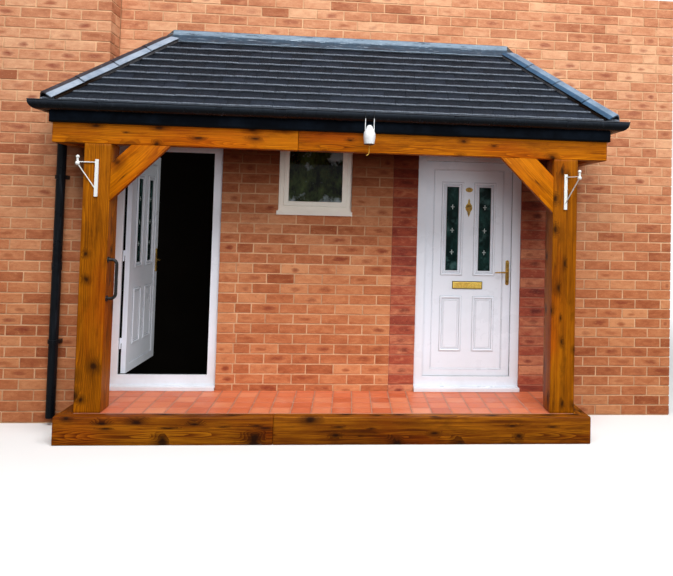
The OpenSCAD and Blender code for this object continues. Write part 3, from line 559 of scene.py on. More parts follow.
def dark_hall():
    """A near-black sheet well behind the open doorway, which stands for an unlit hall. It faces the front,
    vanishes from behind and throws no shadow."""
    f = Finish("dark_hall")
    murk = f.mix(f.noise(f.place(), 2.0, 3.0), "#070606", "#12100d")
    lit = f.done(murk, 1.0, Specular_IOR_Level=0.0)
    clear = f.step("BsdfTransparent", {})
    behind = f.step("NewGeometry", {}, "Backfacing")
    both = f.node("MixShader", {0: behind, 1: f.shader.outputs[0], 2: clear})
    f.links.new(both.outputs[0], f.nodes["Material Output"].inputs["Surface"])
    (left, right), (low, high) = HALL_X, HALL_Z
    corners = [[left, HALL_Y, low], [right, HALL_Y, low], [right, HALL_Y, high], [left, HALL_Y, high]]
    sheet = stage_sheet("dark_hall", corners, lit)
    sheet.visible_diffuse = False
    sheet.visible_shadow = False


dark_hall()

# %% [markdown]
# ## The brick wall
#
# The wall is laid in stretcher bond: every course starts half a brick over from the one below, and
# jambs close with half bats. A picture of bricks would stay flat at the corners and in raking light, so
# each brick is a soft box of its own in one joined mesh, and a slab of mortar stands a few millimetres
# behind their faces. The finish reads a tone for each brick, so no two neighbours match.

# %% Brick sizes and finish
COURSE = 0.0825
STRETCHER = 0.229
MORTAR = 0.010
BRICK_DEPTH = 0.102
RAKE = 0.004
LEAST_BAT = 0.06
LONGEST = STRETCHER * 1.05


def painted_porch_shade(f, body):
    """Painted shade: deepens a wall colour between the posts, most under the porch ceiling, where no sun
    reaches.
    """
    x, _, z = f.parts(f.place())
    share = f.spread(z, 1.6, 2.2) * f.spread(z, 2.7, 2.6) * f.spread(abs(x), 2.1, 2.0)
    return f.mix(share, body, f.times_colour(body, "#7e5638"))


def brick_finish(name, pale, middle, deep, burnt, low_shade_tint="#ffffff"):
    """Fired clay: a tone for each brick, dark kiln smears over the middle of some, and a sanded surface.
    Low on the wall the clay is multiplied by the low tint, a painted shade that deepens downwards, and right
    under the porch ceiling it is darkened further by painted shade.

    The mark "tone" holds lightness, amount of burn and a seed; "local" holds the place within the brick.
    """
    f = Finish(name)
    light, burn, seed = f.parts(f.mark("tone"))
    along, _, height = f.parts(f.mark("local"))
    spot = f.add(f.place(), f.times(f.mark("tone"), 7.0))
    cloud = f.noise(spot, (10, 10, 22), 5.0, 0.65, 0.3)
    drag = f.noise(spot, (16, 16, 90), 4.0, 0.7)
    tone = light * 0.5 + cloud * 0.7
    body = f.ramp(tone + drag * 0.2, (0.42, deep), (0.7, middle), (0.98, pale))
    aside = (along + f.spread(seed, 0, 1, -0.35, 0.35)) / f.spread(light, 0, 1, 0.8, 0.35)
    upward = (height + f.spread(light, 0.3, 0.8, -0.3, 0.2)) / f.spread(seed, 0, 1, 0.75, 0.45)
    reach = aside * aside + upward * upward + (drag + cloud) * 1.3
    smear = f.spread(reach, 2.35, 1.2) * burn
    body = f.mix(smear, body, f.over(burnt, deep, seed, 0.4, 0.7))
    fire = f.noise(spot, (30, 30, 60), 4.0, 0.7)
    body = f.over(body, pale, fire, 0.58, 0.74, 0.6)
    body = f.over(body, burnt, fire, 0.4, 0.24, 0.5)
    grit = f.noise(spot, 420.0, 2.0)
    body = f.over(body, "#f0c4a2", grit, 0.62, 0.75, 0.3)
    body = f.over(body, deep, grit, 0.38, 0.28, 0.4)
    # Painted shade: the low tint deepens the clay downwards, then the porch ceiling's painted shade is laid
    # on.
    low_shade = f.spread(f.parts(f.place())[2], 2.6, 1.0)
    body = painted_porch_shade(f, f.mix(low_shade, body, f.times_colour(body, low_shade_tint)))
    relief = f.noise(spot, 55.0, 4.0, 0.65) + grit * 0.35
    rough = f.spread(cloud, 0.2, 0.8, 0.82, 0.95)
    return f.done(body, rough, f.bump(relief, 0.0022, 0.8), Specular_IOR_Level=0.3)


def mortar_finish(name, pale, dirty):
    """Lime mortar: sandy, weathered, with darker patches."""
    f = Finish(name)
    spot = f.place()
    patch = f.noise(spot, 4.5, 5.0, 0.65)
    sand = f.noise(spot, 520.0, 2.0)
    body = f.over(pale, dirty, patch, 0.35, 0.65)
    # Painted shade under the porch ceiling, as on the bricks.
    body = painted_porch_shade(f, f.over(body, "#fff2e0", sand, 0.6, 0.75, 0.3))
    relief = f.noise(spot, 90.0, 4.0, 0.7) + sand * 0.4
    return f.done(body, 0.95, f.bump(relief, 0.003, 0.9), Specular_IOR_Level=0.2)


house_brick = brick_finish("house_brick", "#deaa84", "#c48460", "#9c5a3c", "#843e2e", "#f6dcc4")
infill_brick = brick_finish("infill_brick", "#d48c66", "#a6503a", "#7a3028", "#54201e")
house_mortar = mortar_finish("house_mortar", "#e2b68e", "#c0906c")
infill_mortar = mortar_finish("infill_mortar", "#c08066", "#8c5644")

# %% Laying the bricks
middle_low, middle_high = box_of("wall_middle")
right_low, right_high = box_of("wall_right")
over_low, over_high = box_of("walls_over_doors")
infill_low, infill_high = box_of("infill_piers")
bay_low, bay_high = box_of("bay_wall")
window_low, window_high = box_of("window_frame")
SILL_TOP = box_of("threshold_blocks")[1][2]
right_frame_low, right_frame_high = box_of("right_door_frame")
left_frame_low, left_frame_high = box_of("left_door_frame")

WALL_TOP = over_high[2]
DOOR_HEAD = over_low[2]
WALL_FACE = middle_low[1]
WALL_BACK = middle_high[1]
BAY_FACE = bay_low[1]
BAY_EDGE = bay_high[0]
COURSES = round(WALL_TOP / COURSE)
DOOR_COURSES = round(DOOR_HEAD / COURSE)


def run_of_bricks(start, end, course, phase):
    """Ends of the bricks along one course. Joints lie at phase + n * STRETCHER, half a brick over on odd
    courses, and an end piece longer than a brick is cut in two."""
    first_joint = phase + (course % 2) * STRETCHER / 2
    low = math.ceil((start + LEAST_BAT - first_joint) / STRETCHER)
    high = math.floor((end - LEAST_BAT - first_joint) / STRETCHER)
    joints = first_joint + np.arange(low, high + 1) * STRETCHER
    edges = np.concatenate([[start], joints, [end]])
    if edges[1] - edges[0] > LONGEST:
        edges = np.insert(edges, 1, (edges[0] + edges[1]) / 2)
    if edges[-1] - edges[-2] > LONGEST:
        edges = np.insert(edges, len(edges) - 1, (edges[-1] + edges[-2]) / 2)
    left, right = edges[:-1] + MORTAR / 2, edges[1:] - MORTAR / 2
    left[0], right[-1] = start, end
    return left, right


def course_z(course):
    """Height of the bed and of the top of a course of bricks."""
    return course * COURSE + MORTAR, (course + 1) * COURSE


def lay(start, end, courses, phase):
    """Bricks of the wall's face between two places along X, as low and high corners."""
    depth = (WALL_FACE, WALL_FACE + BRICK_DEPTH)
    return all_boxes([box_rows(run_of_bricks(start, end, course, phase), depth, course_z(course))
                      for course in courses])


def brick_marks(count, local, burn_share=0.4):
    """The tone of each brick (lightness, burn, seed), repeated for its points, and the local places."""
    light = np.clip(chance.normal(0.55, 0.2, count), 0, 1)
    burn = np.where(chance.random(count) < burn_share, chance.uniform(0.35, 0.95, count), 0)
    tone = np.stack([light, burn, chance.random(count)], 1)
    return {"tone": np.repeat(tone, POINTS_A_BOX, axis=0), "local": local}


def brick_piece(name, blocks, finish, nodes, slot, burn_share=0.4):
    low, high = all_boxes(blocks)
    points, faces, local = soft_boxes(low, high, 0.0025, 0.0009)
    points = np.clip(points, low.min(0), high.max(0))
    marks = brick_marks(len(low), local, burn_share)
    return piece(name, (points, faces), finish, stands_for=nodes, slot=slot, marks=marks)


WINDOW_BED = 0.034
SILL_COURSES = round((window_low[2] - WINDOW_BED) / COURSE)
HEAD_COURSES = math.ceil(window_high[2] / COURSE)
JAMB = middle_high[0]
above_doors, beside_window = range(DOOR_COURSES, HEAD_COURSES), range(SILL_COURSES, DOOR_COURSES)
main_bricks = [
    lay(over_low[0], right_high[0], range(HEAD_COURSES, COURSES), JAMB),
    lay(over_low[0], window_low[0], above_doors, JAMB),
    lay(window_high[0], right_high[0], above_doors, JAMB),
    lay(middle_low[0], window_low[0], beside_window, JAMB),
    lay(window_high[0], middle_high[0], beside_window, JAMB),
    lay(middle_low[0], middle_high[0], range(SILL_COURSES), JAMB),
    lay(right_low[0], right_high[0], range(DOOR_COURSES), right_low[0]),
]
brick_piece("main_wall_bricks", main_bricks, house_brick,
            ["wall_middle", "wall_right", "walls_over_doors"], "brickwork")
PIER_JOINT = 0.004


def lay_pier(start, end):
    """A pier one brick wide beside the right door, which stops at the door head."""
    bed = np.arange(DOOR_COURSES) * COURSE + MORTAR
    top = np.minimum(bed + COURSE - MORTAR, DOOR_HEAD)
    return box_rows((start, end), (infill_low[1], infill_low[1] + BRICK_DEPTH), (bed, top))


infill_bricks = [lay_pier(infill_low[0] + PIER_JOINT, right_frame_low[0]),
                 lay_pier(right_frame_high[0], infill_high[0] - PIER_JOINT)]
brick_piece("infill_bricks", infill_bricks, infill_brick, ["infill_piers"], "infill_brickwork", 0.6)

# %% [markdown]
# The bay turns the corner with whole bricks: on one course the front run reaches the corner and shows its
# end on the side, and on the next the side's brick comes through and shows its end on the front.

# %% The bay's corner
def lay_bay():
    """Front run and side return of the bay, bonded at the corner on alternate courses."""
    rows = []
    for course in range(COURSES):
        bed, top = course_z(course)
        through = course % 2 == 0
        end = BAY_EDGE if through else BAY_EDGE - BRICK_DEPTH - MORTAR
        run = run_of_bricks(bay_low[0], end, course, BAY_EDGE)
        rows.append(box_rows(run, (BAY_FACE, BAY_FACE + BRICK_DEPTH), (bed, top)))
        start = BAY_FACE + (BRICK_DEPTH + MORTAR if through else 0.0)
        rows.append(([[BAY_EDGE - BRICK_DEPTH, start, bed]], [[BAY_EDGE, WALL_FACE - MORTAR, top]]))
    return all_boxes(rows)


brick_piece("bay_bricks", [lay_bay()], house_brick, ["bay_wall"], "brickwork")

# %% [markdown]
# Behind the bricks stands the mortar, set back by the rake of the joints. Past it come the cavity and the
# plastered inner leaf, which show on the top, at the cut ends and from indoors.

# %% Mortar and inner leaf
CAVITY = 0.066
CAVITY_DROP = 0.03
LEAF_FACE = WALL_FACE + BRICK_DEPTH


def plaster_finish():
    """Trowelled plaster, off white, with faint sweeps."""
    f = Finish("plaster")
    sweep = f.noise(f.place(), (3, 3, 9), 5.0, 0.6, 1.2)
    fine = f.noise(f.place(), 60.0, 4.0)
    body = f.over("#d9d3c8", "#cbc4b6", sweep, 0.3, 0.7)
    return f.done(body, 0.85, f.bump(sweep + fine * 0.3, 0.002, 0.7))


def wall_slabs(face, back, top_drop=0.0, end_in=0.0):
    """The main wall without its openings, as slabs between two depths."""
    top, head = WALL_TOP - top_drop, window_high[2]
    spans = [
        (over_low[0], right_high[0] - end_in, head, top),
        (over_low[0], window_low[0], DOOR_HEAD, head),
        (window_high[0], right_high[0] - end_in, DOOR_HEAD, head),
        (middle_low[0], middle_high[0], 0, window_low[2]),
        (middle_low[0], window_low[0], window_low[2], DOOR_HEAD),
        (window_high[0], middle_high[0], window_low[2], DOOR_HEAD),
        (right_low[0], right_high[0] - end_in, 0, DOOR_HEAD),
        (left_frame_low[0], left_frame_high[0], 0, SILL_TOP),
        (right_frame_low[0], right_frame_high[0], 0, SILL_TOP),
    ]
    left, right, foot, head = np.array(spans, float).T
    return box_rows((left, right), (face, back), (foot, head))


def infill_slabs(face, back):
    spans = np.array([[infill_low[0], right_frame_low[0]], [right_frame_high[0], infill_high[0]]]).T
    return box_rows(spans, (face, back), (0.0, DOOR_HEAD))


def bay_slabs(inset, depth, top_drop=0.0, end_in=0.0, back=None):
    """The bay's front and its cross wall behind it, from inset behind the faces to the given depth."""
    top = WALL_TOP - top_drop
    low = [[bay_low[0] + end_in, BAY_FACE + inset, 0], [BAY_EDGE - depth, BAY_FACE + depth, 0]]
    high = [[BAY_EDGE - inset, BAY_FACE + depth, top], [BAY_EDGE - inset, back or WALL_BACK, top]]
    return low, high


def slab_piece(name, blocks, finish, slot="brickwork", nodes=()):
    low, high = all_boxes(blocks)
    points, faces, _ = soft_boxes(low, high, 0.0004)
    return piece(name, (points, faces), finish, slot=slot, stands_for=nodes)


plaster = plaster_finish()
INNER_IN = BRICK_DEPTH + CAVITY
INNER_FACE = LEAF_FACE + CAVITY
behind_corner = ([[BAY_EDGE - BRICK_DEPTH, LEAF_FACE, 0]], [[BAY_EDGE, WALL_BACK, WALL_TOP]])
slab_piece("wall_mortar", [wall_slabs(WALL_FACE + RAKE, LEAF_FACE, RAKE, RAKE)], house_mortar,
           nodes=["threshold_blocks"])
slab_piece("infill_mortar", [infill_slabs(infill_low[1] + RAKE, LEAF_FACE)], infill_mortar,
           "infill_brickwork")
slab_piece("bay_mortar", [bay_slabs(RAKE, BRICK_DEPTH, RAKE, RAKE, LEAF_FACE)], house_mortar)
slab_piece("wall_cavity", [wall_slabs(LEAF_FACE, INNER_FACE, CAVITY_DROP, CAVITY_DROP),
                           infill_slabs(LEAF_FACE, INNER_FACE),
                           bay_slabs(BRICK_DEPTH, INNER_IN, CAVITY_DROP, CAVITY_DROP)], plaster)
slab_piece("inner_leaf", [wall_slabs(INNER_FACE, WALL_BACK), infill_slabs(INNER_FACE, WALL_BACK),
                          bay_slabs(INNER_IN, WALL_BACK - WALL_FACE), behind_corner], plaster)

# %% [markdown]
# ## Quarry tiles
#
# The deck is paved with clay tiles 150 mm square, laid from a full row at the front to a cut row at the
# wall. They are soft boxes as well, each a little out of level, so that the light catches them unevenly.

# %% Deck tiles
TILE = 0.150
TILE_JOINT = 0.004
TILE_SLAB = 0.014
LEAST_CUT = 0.02
OUT_OF_LEVEL = 0.0012
GROUT_DROP = 0.0025


def quarry_finish():
    """Orange clay with a tone for each tile, paler worn middles and a faint sheen."""
    f = Finish("quarry_tile")
    light = f.parts(f.mark("tone"))[0]
    along, depth, _ = f.parts(f.mark("local"))
    spot = f.add(f.place(), f.times(f.mark("tone"), 5.0))
    cloud = f.noise(spot, 14.0, 5.0, 0.6)
    body = f.ramp(light * 0.6 + cloud * 0.5, (0.2, "#b95834"), (0.55, "#d27048"), (0.9, "#e29068"))
    rim = f.sums("MAXIMUM", abs(along), abs(depth))
    body = f.over(body, "#9c452e", rim, 0.8, 1.0, 0.4)
    dust = f.noise(spot, 3.0, 6.0, 0.7)
    body = f.over(body, "#dfb09a", dust, 0.55, 0.75, 0.35)
    relief = f.noise(spot, 40.0, 4.0, 0.6)
    return f.done(body, f.rough(cloud, 0.38, 0.6), f.bump(relief, 0.0012, 0.6))


def grout_finish():
    f = Finish("grout")
    spot = f.place()
    patch = f.noise(spot, 8.0, 5.0, 0.7)
    body = f.over("#b79c86", "#8f7462", patch, 0.35, 0.7)
    return f.done(body, 0.95, f.bump(f.noise(spot, 150.0, 4.0), 0.001, 0.7))


tiles_low, tiles_high = box_of("deck_tiles")
whole_tiles = math.ceil((tiles_high[0] - tiles_low[0]) / TILE) - 1
cut_tile = (tiles_high[0] - tiles_low[0] - whole_tiles * TILE) / 2
x_whole = tiles_low[0] + cut_tile + np.arange(whole_tiles + 1) * TILE
x_lines = np.concatenate([[tiles_low[0]], x_whole, [tiles_high[0]]])
y_lines = np.append(np.arange(tiles_low[1], tiles_high[1] - LEAST_CUT, TILE), tiles_high[1])
x_from, y_from = (a.ravel() for a in np.meshgrid(x_lines[:-1], y_lines[:-1], indexing="ij"))
x_to, y_to = (a.ravel() for a in np.meshgrid(x_lines[1:], y_lines[1:], indexing="ij"))
tile_top = tiles_high[2] - chance.uniform(0, OUT_OF_LEVEL, len(x_from))
tile_in = TILE_JOINT / 2
deck_low, deck_high = box_rows((x_from + tile_in, x_to - tile_in), (y_from + tile_in, y_to - tile_in),
                               (tiles_high[2] - TILE_SLAB, tile_top))
points, faces, local = soft_boxes(deck_low, deck_high, 0.0022, 0.0004)
points[:, 2] = np.minimum(points[:, 2], tiles_high[2])
piece("quarry_tiles", (points, faces), quarry_finish(), stands_for=["deck_tiles"], slot="quarry_tile",
      marks=brick_marks(len(deck_low), local))
points, faces, _ = soft_boxes([tiles_low], [tiles_high - [0, 0, GROUT_DROP]], 0.0005)
piece("deck_grout", (points, faces), grout_finish(), slot="quarry_tile")

# %% [markdown]
# ## Timber
#
# Sawn timber has worn edges, grain that runs its whole length, end grain at the cuts and knots where
# branches were. A bar is a rounded section carried along its length, with a slow waver of a millimetre.
# Each point also gets a "grain" mark, which is its distance along the bar and its place in the section.
# The finish lays growth rings round a heart line in those terms, so the pattern follows the wood and
# turns to rings on the end by itself.

# %% Timber finish
RING_SCALE = 36.0


def timber_finish(name, pale, middle, deep, knot, gloss=0.42):
    """Stained softwood: rings about a heart, long streaks and a broad change of tone. Knots lie in cells over
    the length and the angle round the heart, so each runs out from the heart as a branch does."""
    f = Finish(name)
    grain = f.mark("grain")
    sway = f.noise(grain, (0.9, 2.0, 2.0), 2.0, out="Color")
    along, first, second = f.parts(grain)
    round_heart = f.sums("ARCTAN2", second, first * -1.0)
    unrolled = f.step("CombineXYZ", {0: along * 4.6, 1: round_heart * 0.85})
    unrolled = f.add(unrolled, f.times(f.noise(grain, (9, 20, 20), 3.0, out="Color"), 0.16))
    nearest = f.node("TexVoronoi", {"Vector": unrolled, "Scale": 1.0}, voronoi_dimensions="2D").outputs
    pick, girth, _ = f.parts(nearest["Color"])
    branch = Step(f, nearest["Distance"]) / f.spread(girth, 0.0, 1.0, 0.5, 1.15) + f.spread(pick, 0.58, 0.56)
    near_knot = f.spread(branch, 0.42, 0.05)
    lift = f.times(f.step("CombineXYZ", {1: near_knot, 2: near_knot}), 0.03)
    bent = f.add(f.add(grain, f.times(sway, 0.11)), lift)
    wave = {"Vector": f.stretch(bent, (0.05, 1, 1)), "Scale": RING_SCALE, "Distortion": 2.2,
            "Detail": 3.0, "Detail Scale": 1.4, "Detail Roughness": 0.6}
    rings = f.step("TexWave", wave, "Fac", wave_type="RINGS", rings_direction="X", wave_profile="SAW")
    streak = f.noise(grain, (1.6, 75, 75), 4.0, 0.65)
    fibre = f.noise(grain, (9, 420, 420), 2.0, 0.6)
    broad = f.noise(grain, (1.3, 5, 5), 3.0, 0.55)
    tone = rings * 0.22 + streak * 0.56 + broad * 0.5
    body = f.ramp(tone, (0.36, deep), (0.58, middle), (0.82, pale))
    body = f.over(body, deep, fibre, 0.55, 0.75, 0.3)
    stain = f.noise(grain, (4, 18, 18), 5.0, 0.7, 0.4)
    body = f.over(body, deep, stain, 0.5, 0.72, 0.6)
    blush = f.noise(grain, (0.8, 3.0, 3.0), 4.0, 0.6)
    body = f.over(body, f.times_colour(body, "#f0906c"), blush, 0.5, 0.66, 0.5)
    body = f.over(body, deep, branch, 0.46, 0.1, 0.8)
    body = f.over(body, knot, branch + streak * 0.16, 0.24, 0.14, 0.8)
    relief = rings * 0.5 + fibre * 0.5 + streak * 0.6
    rough = f.rough(broad, gloss - 0.06, gloss + 0.14)
    return f.done(body, rough, f.bump(relief, 0.0011, 0.75), Specular_IOR_Level=0.12)


stained = timber_finish("stained_timber", "#d8800c", "#aa5a04", "#562402", "#2c1404")
post_stain = timber_finish("post_timber", "#b86c06", "#8a4a02", "#422001", "#241003")
dark_stained = timber_finish("dark_stained_timber", "#b8700e", "#6c3204", "#341402", "#1a0a02", 0.5)
sawn = timber_finish("sawn_timber", "#c9a36c", "#b28a55", "#8a6438", "#59391c", 0.75)

# %% Timber bars
END_CUTS = ((0.0, 0.0035), (0.001, 0.0015), (0.004, 0.0))
STATION = 0.045
CORNER_STEPS = 4


def rounded_rectangle(width, height, radius):
    """Outline round a rectangle centred on zero: four quarter arcs joined by the sides."""
    turn = np.linspace(0, np.pi / 2, CORNER_STEPS)
    angle = np.concatenate([turn + quarter * np.pi / 2 for quarter in range(4)])
    sign = np.repeat([[1, 1], [-1, 1], [-1, -1], [1, -1]], CORNER_STEPS, axis=0)
    arc = radius * np.stack([np.cos(angle), np.sin(angle)], 1)
    return sign * (np.array([width, height]) / 2 - radius) + arc


def waver(along, seed, size):
    """A slow wave along a bar: three sines of unlike length, from 0 to size."""
    phase = np.random.default_rng(seed).uniform(0, 6.28, 3)
    waves = sum(np.sin(along * k + p) for k, p in zip((2.3, 5.9, 13.7), phase))
    return size * (0.5 + waves / 6)


def timber_bar(low, high, axis, radius, seed, slack=0.0012):
    """A bar that fills the box from low to high, its grain along one axis. Returns points, faces, grain."""
    low, high = np.asarray(low, float), np.asarray(high, float)
    length = high[axis] - low[axis]
    u, v = (axis + 1) % 3, (axis + 2) % 3
    inner = np.linspace(0.02, length - 0.02, max(2, int(length / STATION)))
    starts, cut_back = np.array(END_CUTS).T
    stations = np.concatenate([starts, inner, length - starts[::-1]])
    inset = np.concatenate([cut_back, np.zeros(len(inner)), cut_back[::-1]])
    outline = rounded_rectangle(high[u] - low[u], high[v] - low[v], radius)
    points = np.zeros((len(stations), len(outline), 3))
    points[..., axis] = (low[axis] + stations)[:, None]
    for number, side in enumerate((u, v)):
        shrink = 1 - (inset + waver(stations, seed + 50 * number, slack)) / ((high[side] - low[side]) / 2)
        points[..., side] = (low[side] + high[side]) / 2 + outline[:, number] * shrink[:, None]
    points, faces = grid_solid(points)
    return points, faces, grain_marks(points, low, high, axis, seed)


def grain_marks(points, low, high, axis, seed):
    """Grain of straight timber: length along the axis, then the place about a heart line. The first of the
    two points to the back or the top, where the angle round the heart jumps."""
    pick = np.random.default_rng(seed + 900)
    u, v = (1, 0) if axis == 2 else ((axis + 1) % 3, (axis + 2) % 3)
    middle = (low + high) / 2
    heart = pick.uniform(-0.35, 0.35, 2) * [high[u] - low[u], high[v] - low[v]]
    return np.stack([points[:, axis] + pick.uniform(0, 60), points[:, u] - middle[u] - heart[0],
                     points[:, v] - middle[v] - heart[1]], 1)


def timber_piece(name, node, bars, finish, slot="timber"):
    """Several bars as one piece that stands for a node."""
    return piece(name, joined([bar[:2] for bar in bars]), finish, stands_for=[node], slot=slot, smooth=40,
                 marks={"grain": np.concatenate([bar[2] for bar in bars])})


# %% Sleepers, posts and beams
SLEEPER_JOINT = -0.410
BEAM_JOINT = -0.305
HALF_JOINT = 0.001


def split_bar(node, at, seed, radius=0.006):
    """The two lengths of a jointed timber along X."""
    low, high = box_of(node)
    left_high, right_low = high.copy(), low.copy()
    left_high[0], right_low[0] = at - HALF_JOINT, at + HALF_JOINT
    return [timber_bar(low, left_high, 0, radius, seed), timber_bar(right_low, high, 0, radius, seed + 1)]


def pair_of_bars(node, front_node, seed, radius=0.006):
    """The left and right bars of a node that lie along Y, as thick as the bar across the front. The left one
    stops at the bay."""
    low, high = box_of(node)
    front_low, front_high = box_of(front_node)
    width = front_high[1] - front_low[1]
    left = timber_bar(low, [low[0] + width, BAY_FACE, high[2]], 1, radius, seed)
    right = timber_bar([high[0] - width, low[1], low[2]], high, 1, radius, seed + 1)
    return [left, right]


timber_piece("front_sleeper_bars", "front_sleepers", split_bar("front_sleepers", SLEEPER_JOINT, 3, 0.009),
             dark_stained, "dark_timber")
timber_piece("side_sleeper_bars", "side_sleepers", pair_of_bars("side_sleepers", "front_sleepers", 7, 0.009),
             dark_stained, "dark_timber")
timber_piece("left_post_bar", "post_left", [timber_bar(*box_of("post_left"), 2, 0.008, 12)], post_stain)
timber_piece("right_post_bar", "post_right", [timber_bar(*box_of("post_right"), 2, 0.008, 21)], post_stain)
timber_piece("front_beam_bars", "front_beams", split_bar("front_beams", BEAM_JOINT, 31), stained)
timber_piece("side_beam_bars", "side_beams", pair_of_bars("side_beams", "front_beams", 41), stained)

# %% Knee braces
BRACE_W = 0.195
CUT_CORNER = 0.004
SAWN_END = 0.003


def moved(points, towards):
    """Points moved a little way towards others."""
    return points + (towards - points) / np.linalg.norm(towards - points, axis=1)[:, None] * CUT_CORNER


def brace_bar(side, seed):
    """A straight board at 45 degrees: its outline in X and Z, rounded a little and carried through its
    thickness. The grain runs up the brace."""
    low, high = box_of("knee_braces")
    post_face = box_of("post_right")[0][0]
    leg = high[2] - low[2]
    short = leg - BRACE_W * math.sqrt(2)
    outline = np.array([[0, -leg], [0, -short], [-short, 0], [-leg, 0]])
    soft = np.stack([moved(outline, np.roll(outline, 1, 0)), moved(outline, np.roll(outline, -1, 0))], 1)
    soft = soft.reshape(-1, 2)
    thick = high[1] - low[1]
    depth = np.array([0, SAWN_END, 0.02, 0.03, thick - SAWN_END, thick])
    shrink = np.array([0.985, 1, 1, 1, 1, 0.985])
    middle = soft.mean(0)
    rings = (soft[None] - middle) * shrink[:, None, None] + middle
    points = np.zeros((len(depth), len(soft), 3))
    points[..., 0] = side * (post_face + rings[..., 0])
    points[..., 1] = (low[1] + depth)[:, None]
    points[..., 2] = high[2] + rings[..., 1]
    points, faces = grid_solid(points)
    up_the_brace = (-side * points[:, 0] + points[:, 2]) / math.sqrt(2)
    across = (side * points[:, 0] + points[:, 2]) / math.sqrt(2)
    grain = np.stack([up_the_brace + seed, across - across.mean() + 0.03, points[:, 1] - low[1] + 0.02], 1)
    return points, faces, grain


brace_stain = timber_finish("brace_timber", "#d47c04", "#b26002", "#642e02", "#301401")
timber_piece("knee_brace_boards", "knee_braces", [brace_bar(-1, 4.0), brace_bar(1, 9.0)], brace_stain)

# %% Ceiling boards
FRONT_BOARDS, BACK_BOARDS = 4, 3


def ceiling_boards():
    """Matched boards along X under the rafters, shorter on the left where they meet the bay."""
    low, high = box_of("ceiling")
    front = np.linspace(low[1], BAY_FACE, FRONT_BOARDS + 1)
    back = np.linspace(BAY_FACE, high[1], BACK_BOARDS + 1)
    bars = []
    for edges, left, seed in ((front, low[0], 60), (back, BAY_EDGE, 70)):
        for near, far in zip(edges[:-1], edges[1:]):
            bars.append(timber_bar([left, near, low[2]], [high[0], far, high[2]], 0, 0.003, seed, 0.0006))
            seed += 1
    return bars


timber_piece("ceiling_boards", "ceiling", ceiling_boards(), stained)

# %% [markdown]
# ## The roof
#
# Both kinds of slope are described by the same three numbers: the distance along the eaves, the distance
# up the slope and the height above the line of the tile noses. Small plain tiles lie in courses 100 mm
# apart, half a tile over from course to course, and each one rides on the two below. Every tile is a
# closed shape with a rounded nose, set down a touch crooked, as a tiler leaves it.

# %% Slopes
PITCH = math.radians(42.5)
ROOF_T = 0.045
GAUGE = 0.100
TILE_T = 0.012
TILE_W = 0.165
TILE_GAP = 0.0025
TILE_LAP = 0.19
TILE_BOW = 0.0016
UNDER_COURSE = 0.004
LEAST_SLIVER, LEAST_NOSE = 0.025, 0.004
MITRE = 0.012
COS, SIN = math.cos(PITCH), math.sin(PITCH)
roof_low = box_of("roof_front")[0]
EAVE_Y = roof_low[1]
EAVE_X = box_of("roof_sides")[1][0]
NOSE_Z = roof_low[2] + ROOF_T * COS
SLOPE_L = (WALL_FACE - EAVE_Y) / COS
APEX_X = EAVE_X - (WALL_FACE - EAVE_Y)


def on_slope(side, along, up, above):
    """Places points on a slope: side 0 faces the front, 1 the right and -1 the left."""
    out = EAVE_Y + up * COS - above * SIN if side == 0 else EAVE_X - up * COS + above * SIN
    height = NOSE_Z + up * SIN + above * COS
    pair = (along, out) if side == 0 else (side * out, along)
    return np.stack(np.broadcast_arrays(*pair, height), -1)


def slope_ends(side, up):
    """Lowest and highest place along the eaves at a height up the slope, short of the hips by the mitre."""
    hip = EAVE_X - up * COS - MITRE
    if side == 0:
        return -hip, hip
    front = EAVE_Y + up * COS + MITRE
    against_bay = (side < 0) & (EAVE_X - up * COS > -BAY_EDGE)
    return front, np.where(against_bay, BAY_FACE, WALL_FACE)


# Section of a tile as (up the slope, above its bed): the nose, then the top, the tail and the underside
NOSE = [(0.0015, 0.0), (0.0, 0.0025), (0.0004, 0.0085), (0.003, TILE_T), (0.012, TILE_T)]
REST = [(0.05, TILE_T), (0.1, TILE_T), (TILE_LAP, TILE_T - 0.004), (TILE_LAP, 0.0), (0.1, 0.001)]


